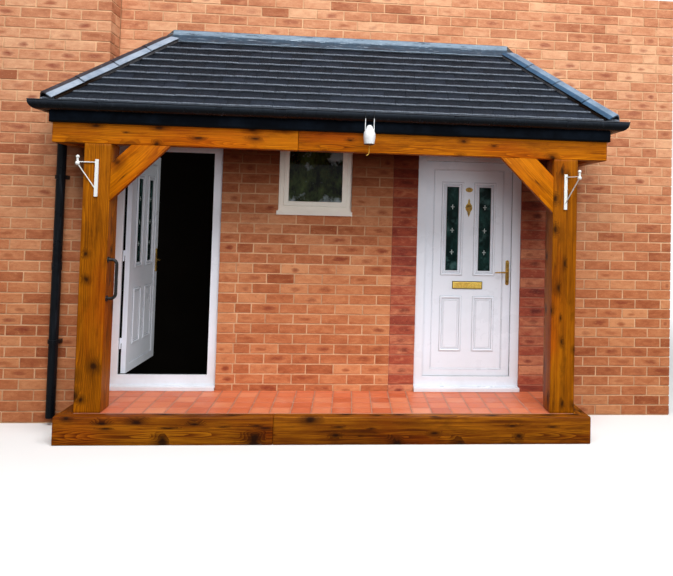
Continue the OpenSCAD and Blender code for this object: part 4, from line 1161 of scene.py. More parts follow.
def slope_tiles(side):
    """All tiles of one slope: points, faces and marks (place across, distance from the nose, seed)."""
    section = np.array(NOSE + REST)
    across = np.linspace(-1, 1, 6)
    starts, levels = [], []
    for course in range(-1, math.ceil(SLOPE_L / GAUGE)):
        up = max(course, 0) * GAUGE
        start, end = slope_ends(side, up)
        first = -TILE_W / 2 if course % 2 else 0.0
        numbers = np.arange(math.floor((start - first) / TILE_W), math.ceil((end - first) / TILE_W))
        starts.append(numbers * TILE_W + first)
        levels.append(np.full(len(numbers), float(course)))
    start, level = np.concatenate(starts), np.concatenate(levels)
    count = len(start)
    lift = chance.uniform(-0.0012, 0.0012, count)
    skew = chance.normal(0, 0.0011, count)
    seed = chance.random(count)
    chips = chance.normal(0, 0.0009, (count, len(across)))
    along = start[:, None] + TILE_W / 2 + across * (TILE_W / 2 - TILE_GAP / 2)
    nose_share = np.clip(1 - section[:, 0] / 0.02, 0, 1)
    base = np.maximum(level, 0) * GAUGE + np.where(level < 0, UNDER_COURSE, 0.0)
    drop = np.where(level < 0, -TILE_T, 0.0)
    crooked = (skew[:, None] * across + chips)[..., None] * nose_share
    up = base[:, None, None] + section[None, None, :, 0] + crooked
    fall = -(section[:, 0]) * TILE_T / GAUGE
    bow = -TILE_BOW * across ** 2
    height = (section[:, 1] - TILE_T + fall)[None, None] + (lift + drop)[:, None, None] + bow[None, :, None]
    low, high = slope_ends(side, np.clip(up, 0, SLOPE_L))
    along = np.clip(np.broadcast_to(along[..., None], up.shape), low, high)
    up = np.minimum(up, SLOPE_L - 0.004)
    wide = (np.ptp(along, axis=(1, 2)) > LEAST_SLIVER) & (np.ptp(along[:, :, 0], axis=1) > LEAST_NOSE)
    points = on_slope(side, along[wide], up[wide], height[wide])
    tile_points, tile_faces = grid_solid(points[0])
    faces = [[n * len(tile_points) + p for p in face] for n in range(len(points)) for face in tile_faces]
    marks = np.stack(np.broadcast_arrays(across[None, :, None], section[None, None, :, 0],
                                         seed[wide][:, None, None]), -1)
    return points.reshape(-1, 3), faces, marks.reshape(-1, 3)


def tile_finish():
    """Weathered charcoal tile: sandy grain, a tone for each tile, a paler lower edge that is wear and a
    painted highlight, and a painted shadow under the nose of the course above.
    """
    f = Finish("roof_tile")
    _, up, seed = f.parts(f.mark("tile"))
    spot = f.add(f.place(), f.times(f.mark("tile"), 3.0))
    cloud = f.noise(spot, 11.0, 5.0, 0.65)
    tone = seed * 0.4 + cloud * 0.75
    body = f.ramp(tone, (0.3, "#020407"), (0.6, "#090d14"), (0.95, "#262e3c"))
    patch = f.noise(spot, 40.0, 5.0, 0.75)
    body = f.over(body, "#545b70", patch, 0.52, 0.72, 0.6)
    body = f.over(body, "#414a59", f.parts(f.place())[2], 2.85, 2.35, 0.14)
    # The pale band at each nose is wear and a painted highlight; the dark band below the next course's nose
    # is a painted shadow.
    wear_and_highlight = f.spread(up, 0.024, 0.0) + f.noise(spot, 15.0, 5.0, 0.7) * 2.4
    body = f.over(body, "#a9b4c4", wear_and_highlight, 1.7, 2.3)
    body = f.over(body, "#040508", up, 0.055, 0.1, 0.85)
    rain = f.noise(spot, (36, 7, 7), 5.0, 0.75)
    body = f.over(body, "#566272", rain, 0.52, 0.68, 0.65)
    body = f.over(body, "#04060a", rain, 0.48, 0.36, 0.85)
    sand = f.noise(spot, 230.0, 3.0)
    relief = f.noise(spot, 38.0, 5.0, 0.7) + sand * 0.7
    rough = f.rough(cloud, 0.5, 0.75)
    return f.done(body, rough, f.bump(relief, 0.0042, 1.0), Specular_IOR_Level=0.1)


roof_tile = tile_finish()
for side, name, nodes in ((0, "front_slope_tiles", ["roof_front"]), (1, "right_slope_tiles", ["roof_sides"]),
                          (-1, "left_slope_tiles", ["roof_sides"])):
    points, faces, marks = slope_tiles(side)
    piece(name, (points, faces), roof_tile, stands_for=nodes, slot="roof_tile", smooth=35,
          marks={"tile": marks})

# %% Boards and felt under the tiles
FELT = (-ROOF_T, -0.030)
FELT_IN, FELT_SHORT = 0.02, 0.002


def felt_slab(side, low_up, high_up, back=None):
    """A mitred slab between two heights up a slope."""
    corners = []
    for up in (low_up, high_up):
        start, end = slope_ends(side, np.array(up + 0.0))
        end = end if back is None else back
        for above in FELT:
            corners += [on_slope(side, np.array([start, end], float), up, above)]
    points = np.concatenate(corners)
    faces = [[0, 1, 3, 2], [4, 6, 7, 5], [0, 4, 5, 1], [2, 3, 7, 6], [0, 2, 6, 4], [1, 5, 7, 3]]
    return points, faces


bay_up = (EAVE_X + BAY_EDGE) / COS
felt_top = SLOPE_L - FELT_SHORT
felt = [felt_slab(0, FELT_IN, felt_top), felt_slab(1, FELT_IN, felt_top),
        felt_slab(-1, FELT_IN, bay_up, BAY_FACE), felt_slab(-1, bay_up, felt_top, WALL_FACE)]
felt_black = two_tone_finish("roof_felt", ("#2a2a2c", "#17181b"), (30.0, 4.0), 0.9, (300.0, 0.0008, 0.7))
piece("roof_boards", joined(felt), felt_black, slot="roof_tile")

# %% [markdown]
# ## Hips
#
# Angle tiles cover the hips, bedded on mortar: two wings that meet in a rounded crest, carried up the line
# where the slopes meet. The top tile is cut off where it meets the lead, so each of its points goes only as
# far as that plane.

# %% Hip tiles
HIP_R, HIP_T, HIP_ANGLE = 0.112, 0.013, math.radians(62)
HIP_BED, HIP_COUNT, HIP_GAP = 0.012, 4, 0.004
HIP_STEPS = 25
HIP_START = 0.032
HIP_CREST = 0.034
HIP_TURN = {-1: 0.050, 1: 0.062}
HIP_SET_BACK = 0.06
HIP_PITCH = math.atan(math.tan(PITCH) / math.sqrt(2))
ACROSS_HIP = SIN / math.sqrt(2)
OVER_HIP = SIN * math.sin(HIP_PITCH) / math.sqrt(2) + COS * math.cos(HIP_PITCH)
HIP_FALL = math.atan(ACROSS_HIP / OVER_HIP)
HIP_EDGE = (HIP_R - HIP_T) * math.sin(HIP_ANGLE)
HIP_CENTRE = HIP_BED - HIP_EDGE * math.tan(HIP_FALL) - (HIP_R - HIP_T) * math.cos(HIP_ANGLE)
HIP_L = (WALL_FACE - EAVE_Y) * math.sqrt(2) / math.cos(HIP_PITCH)
LEAD_PLAN = 0.100 * COS
HIP_END_Y = WALL_FACE - LEAD_PLAN
DIAGONAL = math.sqrt(0.5)
HIP_X = np.array([math.cos(HIP_PITCH) * DIAGONAL, math.cos(HIP_PITCH) * DIAGONAL, math.sin(HIP_PITCH)])
HIP_Y = np.array([-DIAGONAL, DIAGONAL, 0.0])
HIP_Z = np.cross(HIP_X, HIP_Y)


def on_hip(side, along, across, above):
    """Points on the hip: along it from the eaves, across it and above the line of the noses. A point that
    would pass the lead's lower edge stops there."""
    limit = (HIP_END_Y - EAVE_Y - across * HIP_Y[1] - above * HIP_Z[1]) / HIP_X[1]
    along = np.minimum(along, limit)
    corner = np.array([-EAVE_X, EAVE_Y, NOSE_Z])
    points = corner + along[..., None] * HIP_X + across[..., None] * HIP_Y + above[..., None] * HIP_Z
    points[..., 0] *= -side
    return points


def hip_section(radius):
    """Two straight wings from the edges of an arc to a crest that rounds off where they meet, as places
    across the hip and heights above it."""
    across = np.linspace(-1, 1, HIP_STEPS) * radius * math.sin(HIP_ANGLE)
    fall = (1 - math.cos(HIP_ANGLE)) / math.sin(HIP_ANGLE)
    bend = np.sqrt(across ** 2 + HIP_CREST ** 2) - HIP_CREST
    return np.stack([across, radius - bend * fall * 1.3], 1)


def hip_tile(side, number):
    """One tile: a band with rounded edges, its lower end a little fuller than its upper one. The mark holds
    the wing (-1 or 1), the side of the roof and a seed."""
    pace = HIP_L / HIP_COUNT
    start = 0.0 if number else HIP_START
    place = np.array([start, start + 0.003, start + 0.012, 0.1, 0.2, pace - HIP_GAP - 0.006, pace - HIP_GAP])
    swell = np.array([-0.004, 0.0, 0.0005, 0.0, -0.001, -0.002, -0.006]) + chance.uniform(-0.001, 0.0005)
    ring = np.concatenate([hip_section(HIP_R), hip_section(HIP_R - HIP_T)[::-1]])
    outside = (np.arange(len(ring)) < HIP_STEPS)[None] * swell[:, None]
    across = ring[None, :, 0] * (1 + outside / HIP_R)
    above = ring[None, :, 1] + outside + HIP_CENTRE
    along = np.broadcast_to((number * pace + place)[:, None], across.shape)
    points = on_hip(side, along, across, above)
    wing = np.clip((across + HIP_TURN[side]) / 0.008, -1, 1)
    marks = np.stack(np.broadcast_arrays(wing, float(side), chance.random()), -1).reshape(-1, 3)
    return *grid_solid(points), marks


def hip_mortar(side):
    """The bed under both edges and behind the joints, a band with a ragged foot."""
    along = np.linspace(HIP_SET_BACK, HIP_L, 90)
    foot = HIP_EDGE + 0.002
    foot_z = -foot * math.tan(HIP_FALL) - 0.004
    crest = hip_section(HIP_R - HIP_T + 0.005) + [0, HIP_CENTRE]
    foot_line = [(foot, foot_z), (foot - 0.03, foot_z + 0.012), (0, foot_z + 0.03),
                 (-foot + 0.03, foot_z + 0.012), (-foot, foot_z)]
    ring = np.concatenate([crest[1:-1], foot_line])
    rough = np.random.default_rng(5 + side).normal(0, 0.0016, (len(along), len(ring)))
    across = ring[None, :, 0] + rough * np.sign(ring[:, 0])
    above = np.broadcast_to(ring[None, :, 1], across.shape)
    points = on_hip(side, np.broadcast_to(along[:, None], across.shape), across, above)
    return grid_solid(points)


def hip_tile_finish():
    """Blue-grey clay with painted light and shade on its four wings, as lit from the right: palest on the
    left hip's front wing, near black behind it, deep blue on the right hip's front wing and mid blue behind
    that."""
    f = Finish("hip_tile")
    wing, side, _ = f.parts(f.mark("hip"))
    spot = f.place()
    cloud = f.noise(spot, 9.0, 6.0, 0.7)
    streak = f.noise(spot, 30.0, 5.0, 0.75)
    tone = cloud * 0.6 + streak * 0.4
    # Painted light and shade: one tone for each wing, lit or shaded as by a light from the right.
    left_front_lit = f.ramp(tone, (0.3, "#6e7e93"), (0.6, "#9aa6b6"))
    left_back_shaded = f.ramp(tone, (0.3, "#1c1b21"), (0.6, "#3a3841"))
    right_front_shaded = f.ramp(tone, (0.3, "#1c354b"), (0.6, "#2f506e"))
    right_back_lit = f.ramp(tone, (0.3, "#4c6074"), (0.6, "#7a8da2"))
    to_front = f.spread(wing, 0.25, -0.25)
    to_right = f.spread(side, -0.5, 0.5)
    body = f.mix(to_right, f.mix(to_front, left_back_shaded, left_front_lit), f.mix(to_front, right_back_lit, right_front_shaded))
    lichen = f.noise(spot, 60.0, 4.0, 0.7)
    body = f.over(body, "#b9bfc0", lichen, 0.62, 0.72, 0.35)
    relief = f.noise(spot, 45.0, 5.0, 0.65) + lichen * 0.5
    return f.done(body, f.rough(cloud, 0.35, 0.6), f.bump(relief, 0.0018, 0.8), Specular_IOR_Level=0.3)


roof_mortar = mortar_finish("roof_mortar", "#3c3d42", "#242428")
caps = [hip_tile(side, number) for side in (-1, 1) for number in range(HIP_COUNT)]
points, faces = joined([cap[:2] for cap in caps])
piece("hip_caps", (points, faces), hip_tile_finish(), stands_for=["hip_tiles"], slot="hip_tile", smooth=25,
      marks={"hip": np.concatenate([cap[2] for cap in caps])})
piece("hip_bedding", joined([hip_mortar(-1), hip_mortar(1)]), roof_mortar, slot="hip_tile", smooth=50,
      merge=1e-5)

# %% [markdown]
# ## Lead
#
# Sheet lead is dressed over the top of the tiles and turned up against the wall. It follows what lies
# under it and never lies quite flat, so its free edge gets slow waves. Each strip is a thin closed section
# carried along the wall, and the strips are cut on the mitre where they meet on a hip.

# %% Lead strips
LEAD_T = 0.0035
LEAD_UP = 0.046
LEAD_SEAT = 0.0015


def lead_finish(name, deep, middle, pale, lit_upstand):
    """Sheet lead: clouded, with streaks down the slope, a lighter tone painted as light on its upright part
    and a crust of dark and pale weathering along it."""
    f = Finish(name)
    spot = f.place()
    cloud = f.noise(spot, 7.0, 6.0, 0.65)
    run = f.noise(spot, (60, 6, 6), 4.0, 0.6)
    tone = cloud * 0.5 + run * 0.4
    body = f.ramp(tone, (0.25, deep), (0.5, middle), (0.75, pale))
    # Painted light: the upright part, facing the front, takes the lit upstand tone.
    body = f.over(body, lit_upstand, f.facing_up(), 0.3, 0.0, 0.8)
    crust = f.noise(spot, (9, 60, 60), 5.0, 0.75)
    body = f.over(body, "#1a2733", crust, 0.54, 0.64, 0.75)
    body = f.over(body, "#a9bac8", crust, 0.42, 0.34, 0.7)
    relief = f.noise(spot, 18.0, 4.0) + run * 0.4
    return f.done(body, f.rough(cloud, 0.35, 0.6), f.bump(relief, 0.003, 0.7), Metallic=0.25)


def lead_section():
    """Closed section as (distance from the wall, height over the slope line, share of the wave)."""
    t = LEAD_T / COS
    down = np.linspace(LEAD_PLAN, LEAD_T * 2.2, 7)
    top = [(d, t, (d / LEAD_PLAN) ** 1.5) for d in down]
    fold = [(LEAD_T, t + 0.006, 0.0), (LEAD_T, LEAD_UP * 0.6, 0.0), (LEAD_T * 0.9, LEAD_UP, 0.0),
            (0.0, LEAD_UP, 0.0)]
    under = [(0.0, 0.0, 0.0)] + [(d, 0.0, (d / LEAD_PLAN) ** 1.5) for d in down[::-1][1:]]
    return np.array(top + fold + under)


LEAD_OUT, LEAD_OVER, LEAD_WAVY = lead_section().T


def lead_strip(side, x, y, plan, along, seed):
    """A strip through rows of the section at x and y, which lie plan metres in from the eaves. Its slow waves
    run along it."""
    phase = np.random.default_rng(seed).uniform(0, 6.28, 4)
    wave = sum(np.sin(along * k + p) for k, p in zip((9.0, 21.0, 37.0, 71.0), phase)) / 4
    z = NOSE_Z + plan * math.tan(PITCH) + LEAD_SEAT + LEAD_OVER + LEAD_WAVY * (0.0022 * (1 + wave))
    return grid_solid(np.stack([side * x, y, z], -1))


def front_lead():
    """Along the top of the front slope, its ends on the mitres of the hips."""
    x = np.linspace(-1, 1, 120)[:, None] * (APEX_X + LEAD_OUT)[None]
    y = np.broadcast_to(WALL_FACE - LEAD_OUT, x.shape)
    return lead_strip(1, x, y, y - EAVE_Y, x, 3)


def side_lead(side, wall, near, far, mitred, seed):
    """Down a side slope along a wall face, from x = near to x = far, on the mitre at its top or square."""
    start = near + (LEAD_OUT if mitred else 0 * LEAD_OUT)
    x = start + (far - start) * np.linspace(0, 1, 24)[:, None]
    y = np.broadcast_to(wall - LEAD_OUT, x.shape)
    return lead_strip(side, x, y, EAVE_X - x, x, seed)


def bay_lead():
    """The short gutter of lead against the side of the bay, stepped up the slope with it."""
    y = np.linspace(BAY_FACE, WALL_FACE, 12)[:, None] + 0 * LEAD_OUT
    x = np.broadcast_to(BAY_EDGE + LEAD_OUT, y.shape)
    return lead_strip(1, x, y, EAVE_X + x, y, 9)


strips = [side_lead(1, WALL_FACE, APEX_X, EAVE_X, True, 5),
          side_lead(-1, WALL_FACE, APEX_X, -BAY_EDGE - LEAD_PLAN, True, 6),
          side_lead(-1, BAY_FACE, -BAY_EDGE, EAVE_X, False, 7), bay_lead()]
blue_lead = lead_finish("sheet_lead", "#1d2c3a", "#2f4558", "#4a6175", "#8fa3b6")
# The side strips take a darker copy of the lead, painted shade for the side slopes and the wall behind them.
shaded_lead = lead_finish("shaded_lead", "#15110f", "#2a2320", "#4a4440", "#453f3d")
piece("front_lead_strip", front_lead(), blue_lead, stands_for=["lead_flashing"], slot="lead", smooth=40)
piece("side_lead_strips", joined(strips), shaded_lead, stands_for=["lead_flashing"], slot="lead", smooth=40)

# %% [markdown]
# ## Gutters, eaves boards and pipe
#
# A half-round gutter has a section like a thin C with a bead along its front lip. It is carried along the
# eaves, and at the corners the vectors that carry it point outwards on the diagonal, which cuts the mitre.
# Straps that clip over it every so often and the wide union at its joint break up the long black line.

# %% Black plastic
fascia_low, fascia_high = box_of("fascia")


def black_plastic_finish(name, tone, edge, dust_and_highlight):
    """Glossy black plastic with run marks and a veil of dust and painted highlight that thins out towards its
    underside. The veil is the share of that paler tone where the plastic faces up."""
    f = Finish(name)
    spot = f.place()
    dust = f.noise(spot, 6.0, 6.0, 0.7)
    runs = f.noise(spot, (40, 40, 3), 3.0, 0.6)
    body = f.over(tone, edge, dust, 0.45, 0.75, 0.6)
    body = f.over(body, "#4a505a", runs, 0.6, 0.75, 0.3)
    # Dust and a painted highlight: paler where the plastic faces up.
    body = f.over(body, "#454e5a", f.facing_up(), -0.5, 0.35, dust_and_highlight)
    rough = f.rough(dust, 0.2, 0.4)
    return f.done(body, rough, f.bump(f.noise(spot, 12.0, 3.0), 0.0006, 0.5), Specular_IOR_Level=0.16)


def board_finish():
    """Painted eaves board: near black with a blue cast, brush marks along it."""
    f = Finish("eaves_board")
    spot = f.place()
    brush = f.noise(spot, (3, 3, 260), 4.0, 0.6)
    dust = f.noise(spot, 5.0, 5.0, 0.6)
    body = f.over("#080d15", "#18222f", dust, 0.4, 0.7)
    foot = f.spread(f.parts(spot)[2], fascia_low[2] + 0.018, fascia_low[2] + 0.008)
    body = f.mix(foot, body, "#050608")
    return f.done(body, f.rough(brush, 0.32, 0.5), f.bump(brush, 0.0006, 0.6), Specular_IOR_Level=0.08)


rain_black = black_plastic_finish("rain_plastic", "#05080d", "#0f151e", 0.5)
pipe_black = black_plastic_finish("pipe_plastic", "#06080b", "#11151b", 0.08)
dressed("fascia", board_finish(), round_off=0.0025)

# %% Gutter runs
UP = [0, 0, 1]
GUTTER_R, GUTTER_WALL, GUTTER_SIDE = 0.054, 0.004, 0.014
FASCIA_X = fascia_high[0]
FASCIA_Y = fascia_low[1]
RIM_Z = box_of("front_gutter")[1][2]


def half_round(radius):
    """The lower half of a circle about the gutter's middle, as (distance out from the board, height from
    the rim)."""
    turn = np.linspace(math.pi, 2 * math.pi, 29)
    return np.stack([GUTTER_R + radius * np.cos(turn), radius * np.sin(turn) - GUTTER_SIDE], 1)


def gutter_section(grow=0.0, wall=GUTTER_WALL, bead=0.0045):
    """Section of a gutter or strap in the same terms: outside, front lip bead and inside."""
    outer, inner = half_round(GUTTER_R + grow), half_round(GUTTER_R + grow - wall)[::-1]
    lip = np.linspace(-0.4 * math.pi, 1.4 * math.pi, 9)
    front = 2 * GUTTER_R + grow
    ring = np.stack([front - wall / 2 + bead * np.cos(lip), -bead + bead * np.sin(lip)], 1)
    back = np.array([[wall - grow, 0.0], [-grow, 0.0]])
    return np.concatenate([outer, ring, inner, back])


def stop_end(end, side):
    """A half-round cap at the wall end of a run, a little larger than the gutter."""
    disc = np.concatenate([half_round(GUTTER_R + 0.002), [[2 * GUTTER_R, -GUTTER_SIDE], [0.0, -0.03]]])
    x, y, z = end
    return carried(disc, [[x, y - 0.008, z], [x, y - 0.0005, z]], [side, 0, 0], UP)


left_end, left_corner = [-FASCIA_X, BAY_FACE, RIM_Z], [-FASCIA_X, FASCIA_Y, RIM_Z]
right_end, right_corner = [FASCIA_X, WALL_FACE, RIM_Z], [FASCIA_X, FASCIA_Y, RIM_Z]
run_section = gutter_section()
piece("front_gutter_run", carried(run_section, [left_corner, right_corner], [[-1, -1, 0], [1, -1, 0]], UP),
      rain_black, stands_for=["front_gutter"], slot="black_plastic", smooth=40)
side_runs = [carried(run_section, [left_corner, left_end], [[-1, -1, 0], [-1, 0, 0]], UP),
             carried(run_section, [right_corner, right_end], [[1, -1, 0], [1, 0, 0]], UP),
             stop_end(left_end, -1), stop_end(right_end, 1)]

# %% Downpipe, outlet and straps
PIPE_R, PIPE_WALL, PIPE_ROUND = 0.034, 0.003, 48
SOCKET_UP, SOCKET_L, SOCKET_GROW = 1.12, 0.06, 0.0035
STRAP_W, STRAP_PACE = 0.035, 0.86
UNION_W, UNION_X = 0.09, -0.43
pipe_low, pipe_high = box_of("downpipe")
PIPE_AT = (pipe_low[:2] + pipe_high[:2]) / 2
PIPE_L = pipe_high[2] - pipe_low[2]


def round_pipe(outline, foot):
    """A round shape about the pipe's line, as (radius, height) pairs over a foot."""
    return turned(outline, [*PIPE_AT, foot], UP, PIPE_ROUND)


spigot = round_pipe([(0.02, 0.0), (0.028, 0.0), (0.028, 0.05), (0.03, 0.055), (0.04, 0.072), (0.04, 0.085)],
                    pipe_high[2] - 0.04)
collar = round_pipe([(0.028, 0), (0.0385, 0), (0.0385, 0.018), (0.036, 0.021), (0.028, 0.021)],
                    pipe_high[2] - 0.004)
piece("side_gutter_runs", joined(side_runs + [spigot, collar]), rain_black, stands_for=["side_gutters"],
      slot="black_plastic", smooth=40)
bore, wide = PIPE_R - PIPE_WALL, PIPE_R + SOCKET_GROW
pipe = round_pipe([(bore, 0.05), (bore, 0.001), (PIPE_R - 0.001, 0.0), (PIPE_R, 0.001),
                   (PIPE_R, PIPE_L - 0.001), (PIPE_R - 0.001, PIPE_L), (bore, PIPE_L)], pipe_low[2])
socket = round_pipe([(PIPE_R - 0.002, 0), (wide - 0.002, 0), (wide, 0.002), (wide, SOCKET_L - 0.004),
                     (wide - 0.001, SOCKET_L), (PIPE_R - 0.002, SOCKET_L + 0.001)], pipe_low[2] + SOCKET_UP)
piece("downpipe_tube", joined([pipe, socket]), pipe_black, stands_for=["downpipe"], slot="black_plastic",
      smooth=40)
dressed("pipe_clips", pipe_black, round_off=0.0012, smooth=40)
strap_section = gutter_section(0.0035, 0.003, 0.006)


def strap(x, width=STRAP_W):
    """A strap clipped over the front run."""
    ends = [[x - width / 2, FASCIA_Y, RIM_Z], [x + width / 2, FASCIA_Y, RIM_Z]]
    return carried(strap_section, ends, [0, -1, 0], UP)


straps = [strap(x) for x in np.arange(-2, 3) * STRAP_PACE]
straps.append(strap(UNION_X, UNION_W))
piece("gutter_straps", joined(straps), rain_black, slot="black_plastic", smooth=40)

# %% [markdown]
# ## White plastic doors and window
#
# The frames and leaves keep the solids' own shape, with every edge rounded as extruded plastic is. The
# raised rings on the leaves are pressed mouldings: an S-shaped section carried round a rectangle, with
# longer vectors at the corners so that it mitres there. The left leaf stands open, so what is made for it
# is first placed as on a closed leaf and then turned about the hinge line with it.

# %% White plastic
def white_plastic_finish(name, tone, shade):
    """Smooth white plastic with a very fine unevenness. The mark "fold" is 1 in the folds of mouldings, where
    grey shade is painted."""
    f = Finish(name)
    spot = f.place()
    grime = f.noise(spot, 3.2, 6.0, 0.65)
    body = f.over(tone, shade, grime, 0.5, 0.8, 0.5)
    low = f.spread(f.parts(spot)[2], 0.55, 0.22, 0.0, 0.5)
    body = f.mix(low * grime, body, "#a8a39a")
    # Painted shade in the folds of the mouldings.
    body = f.mix(f.parts(f.mark("fold"))[0], body, "#858d98")
    return f.done(body, f.rough(grime, 0.24, 0.38), f.bump(f.noise(spot, 5.0, 2.0), 0.0008, 0.4))


white_plastic = white_plastic_finish("white_plastic", "#eef4ff", "#dce3ee")
seal = two_tone_finish("rubber_seal", ("#3a3d40", "#55585b"), (40.0, 3.0), 0.6, (300.0, 0.0003, 0.5))
window_plastic = white_plastic_finish("window_plastic", "#fffaf0", "#ece6d8")
for node, body, finish, round_off in (
        ("left_door_frame", "porch", white_plastic, 0.0025),
        ("right_door_frame", "porch", white_plastic, 0.0025),
        ("door_sills", "porch", white_plastic, 0.004),
        ("window_frame", "porch", window_plastic, 0.003),
        ("window_sash", "porch", window_plastic, 0.004),
        ("window_sill", "porch", window_plastic, 0.003),
        ("left_door_leaf", "left_leaf", white_plastic, 0.0022),
        ("right_door_leaf", "right_leaf", white_plastic, 0.0022)):
    dressed(node, finish, body, round_off)

# %% Where things sit on a leaf
FRAME_W, FRAME_D, LEAF_GAP, LEAF_T = 0.060, 0.070, 0.006, 0.040
THRESHOLD = 0.100
STILE, RAIL = 0.076, 0.062
HINGE_OUT = 0.011
LEFT_OPEN = math.radians(88)
SINK = 0.008
STRIP_W, STRIP_H, STRIP_Z, STRIP_X = 0.105, 0.720, 0.903, 0.141
RING_MARGIN = 0.040
LOW_Z, LOW_H = 0.218, 0.465
LEAF_Y = right_frame_low[1] + FRAME_D - LEAF_T
LEAF_Z = right_frame_low[2] + THRESHOLD + LEAF_GAP


def hang(points, leaf):
    """Moves points from the leaf's own place (hinge edge at x = 0, outer face at y = 0, bottom at z = 0)
    to where that leaf hangs. The left leaf turns about its hinge line by the angle it stands open."""
    points = np.asarray(points, float)
    inset = FRAME_W + LEAF_GAP
    if leaf == "right_leaf":
        return points + [right_frame_low[0] + inset, LEAF_Y, LEAF_Z]
    hinge = np.array([left_frame_low[0] + inset - LEAF_GAP / 2, LEAF_Y + LEAF_T + HINGE_OUT, LEAF_Z])
    local = points + [LEAF_GAP / 2, -LEAF_T - HINGE_OUT, 0]
    turn = np.array([[math.cos(LEFT_OPEN), math.sin(LEFT_OPEN), 0],
                     [-math.sin(LEFT_OPEN), math.cos(LEFT_OPEN), 0], [0, 0, 1]])
    return hinge + local @ turn


LEAF_H = right_frame_high[2] - right_frame_low[2] - THRESHOLD - FRAME_W - 2 * LEAF_GAP
LEAF_WIDTHS = {"left_leaf": left_frame_high[0] - left_frame_low[0] - 2 * (FRAME_W + LEAF_GAP),
               "right_leaf": right_frame_high[0] - right_frame_low[0] - 2 * (FRAME_W + LEAF_GAP)}
FACE_SIGNS = ((0.0, -1.0), (LEAF_T, 1.0))


def leaf_piece(name, leaf, shapes, finish, **settings):
    """Shapes made in a leaf's own place, hung with it as one piece."""
    points, faces = joined(shapes)
    return piece(name, (hang(points, leaf), faces), finish, leaf, **settings)


def raised(outline, scale, level, centre, face, outward):
    """A low shape on a leaf: an outline about a centre, scaled anew at each level over a face."""
    spots = np.array(centre) + outline[None] * np.reshape(scale, (len(level), 1, -1))
    y = np.broadcast_to((face + outward * np.array(level))[:, None], spots.shape[:2])
    return grid_solid(np.stack([spots[..., 0], y, spots[..., 1]], -1))


# %% Mouldings on the leaves
def ring_round(section, left, bottom, width, height, face, outward):
    """A section (distance in from the ring's outside, height over the face) carried round a rectangle on
    the leaf. At each corner it moves in along both sides at once, which makes the mitre."""
    corners = [[left, face, bottom], [left + width, face, bottom], [left + width, face, bottom + height],
               [left, face, bottom + height]]
    inward = [[1, 0, 1], [-1, 0, 1], [-1, 0, -1], [1, 0, -1]]
    return carried(section, corners, inward, [0, outward, 0], loop=True)


OGEE_STEPS = 15


def ogee(width, height):
    """Section of a pressed moulding: a soft step up, a crown, and a hollow down to a low inner step."""
    share = np.linspace(0, 1, OGEE_STEPS)
    up, down = np.sin(share / 0.45 * np.pi / 2), np.cos((share - 0.45) / 0.55 * np.pi / 2)
    crown = np.where(share < 0.45, np.abs(up) ** 1.3, np.abs(down) ** 1.4)
    rise = height * (0.12 + 0.88 * crown)
    rise[0] = rise[-1] = 0.0
    top = np.stack([share * width, rise], 1)
    return np.concatenate([top, [[width, -0.001], [0, -0.001]]])


# Painted shade in the creases: points of each ogee section near where it meets the leaf.
OGEE_CREASE_SHADE = np.zeros((OGEE_STEPS + 2, 3))
OGEE_CREASE_SHADE[[0, 1, 2, 12, 13, 14], 0] = (1.0, 0.9, 0.4, 0.4, 0.9, 1.0)
CORNERS_A_RING = 4


def leaf_rings(leaf):
    """Rings round both glass strips and both lower panels, and one round them all, on both faces. A ring is
    given by its width and height over the face, the rectangle it lies round and how far out it grows."""
    ring_w = STRIP_W + 2 * RING_MARGIN
    rings = []
    for side in (-1, 1):
        middle = LEAF_WIDTHS[leaf] / 2 + side * STRIP_X
        for bottom, height in ((STRIP_Z - RING_MARGIN, STRIP_H + 2 * RING_MARGIN), (LOW_Z, LOW_H)):
            rings.append((0.022, 0.0095, middle - ring_w / 2, bottom, ring_w, height, 0.0025))
            rings.append((0.009, 0.0032, middle - ring_w / 2, bottom, ring_w, height, -0.027))
        rings.append((0.010, 0.0062, middle - STRIP_W / 2, STRIP_Z, STRIP_W, STRIP_H, 0.009))
    rings.append((0.010, 0.0066, STILE, RAIL, LEAF_WIDTHS[leaf] - 2 * STILE, LEAF_H - STILE - RAIL, 0.0))
    return [ring_round(ogee(wide, high), left - grow, bottom - grow, width + 2 * grow, height + 2 * grow,
                       face - outward * SINK, outward)
            for face, outward in FACE_SIGNS for wide, high, left, bottom, width, height, grow in rings]


for leaf in LEAF_WIDTHS:
    rings = leaf_rings(leaf)
    leaf_piece(leaf + "_mouldings", leaf, rings, white_plastic, slot="white_plastic", smooth=35,
               marks={"fold": np.tile(OGEE_CREASE_SHADE, (CORNERS_A_RING * len(rings), 1))})

# %% Seals and joint lines
SEAL_IN, SEAL_SINK = 0.0002, 0.0092
REBATE = 0.0135


def glazing_seals(leaf):
    """A thin dark line of rubber round each strip of glass, on both faces."""
    section = [[0, -0.0005], [0, 0.0016], [0.0032, 0.0016], [0.0032, -0.0005]]
    left = LEAF_WIDTHS[leaf] / 2 - STRIP_W / 2 + SEAL_IN
    return [ring_round(section, left + side * STRIP_X, STRIP_Z + SEAL_IN, STRIP_W - 2 * SEAL_IN,
                       STRIP_H - 2 * SEAL_IN, face - outward * SEAL_SINK, outward)
            for face, outward in FACE_SIGNS for side in (-1, 1)]


for leaf in LEAF_WIDTHS:
    leaf_piece(leaf + "_seals", leaf, glazing_seals(leaf), seal, slot="fill")


def frame_seal(low, high):
    """The rubber in the frame's rebate, which shows as a fine dark line round a shut door."""
    left, bottom = low[0] + FRAME_W + REBATE, low[2] + THRESHOLD + REBATE
    width = high[0] - low[0] - 2 * (FRAME_W + REBATE)
    height = high[2] - low[2] - THRESHOLD - FRAME_W - 2 * REBATE
    section = [[0, 0], [0, 0.005], [0.0022, 0.005], [0.0022, 0]]
    return ring_round(section, left, bottom, width, height, low[1] + 0.019, 1.0)


both_seals = [frame_seal(left_frame_low, left_frame_high), frame_seal(right_frame_low, right_frame_high)]
piece("frame_seals", joined(both_seals), seal, slot="fill")
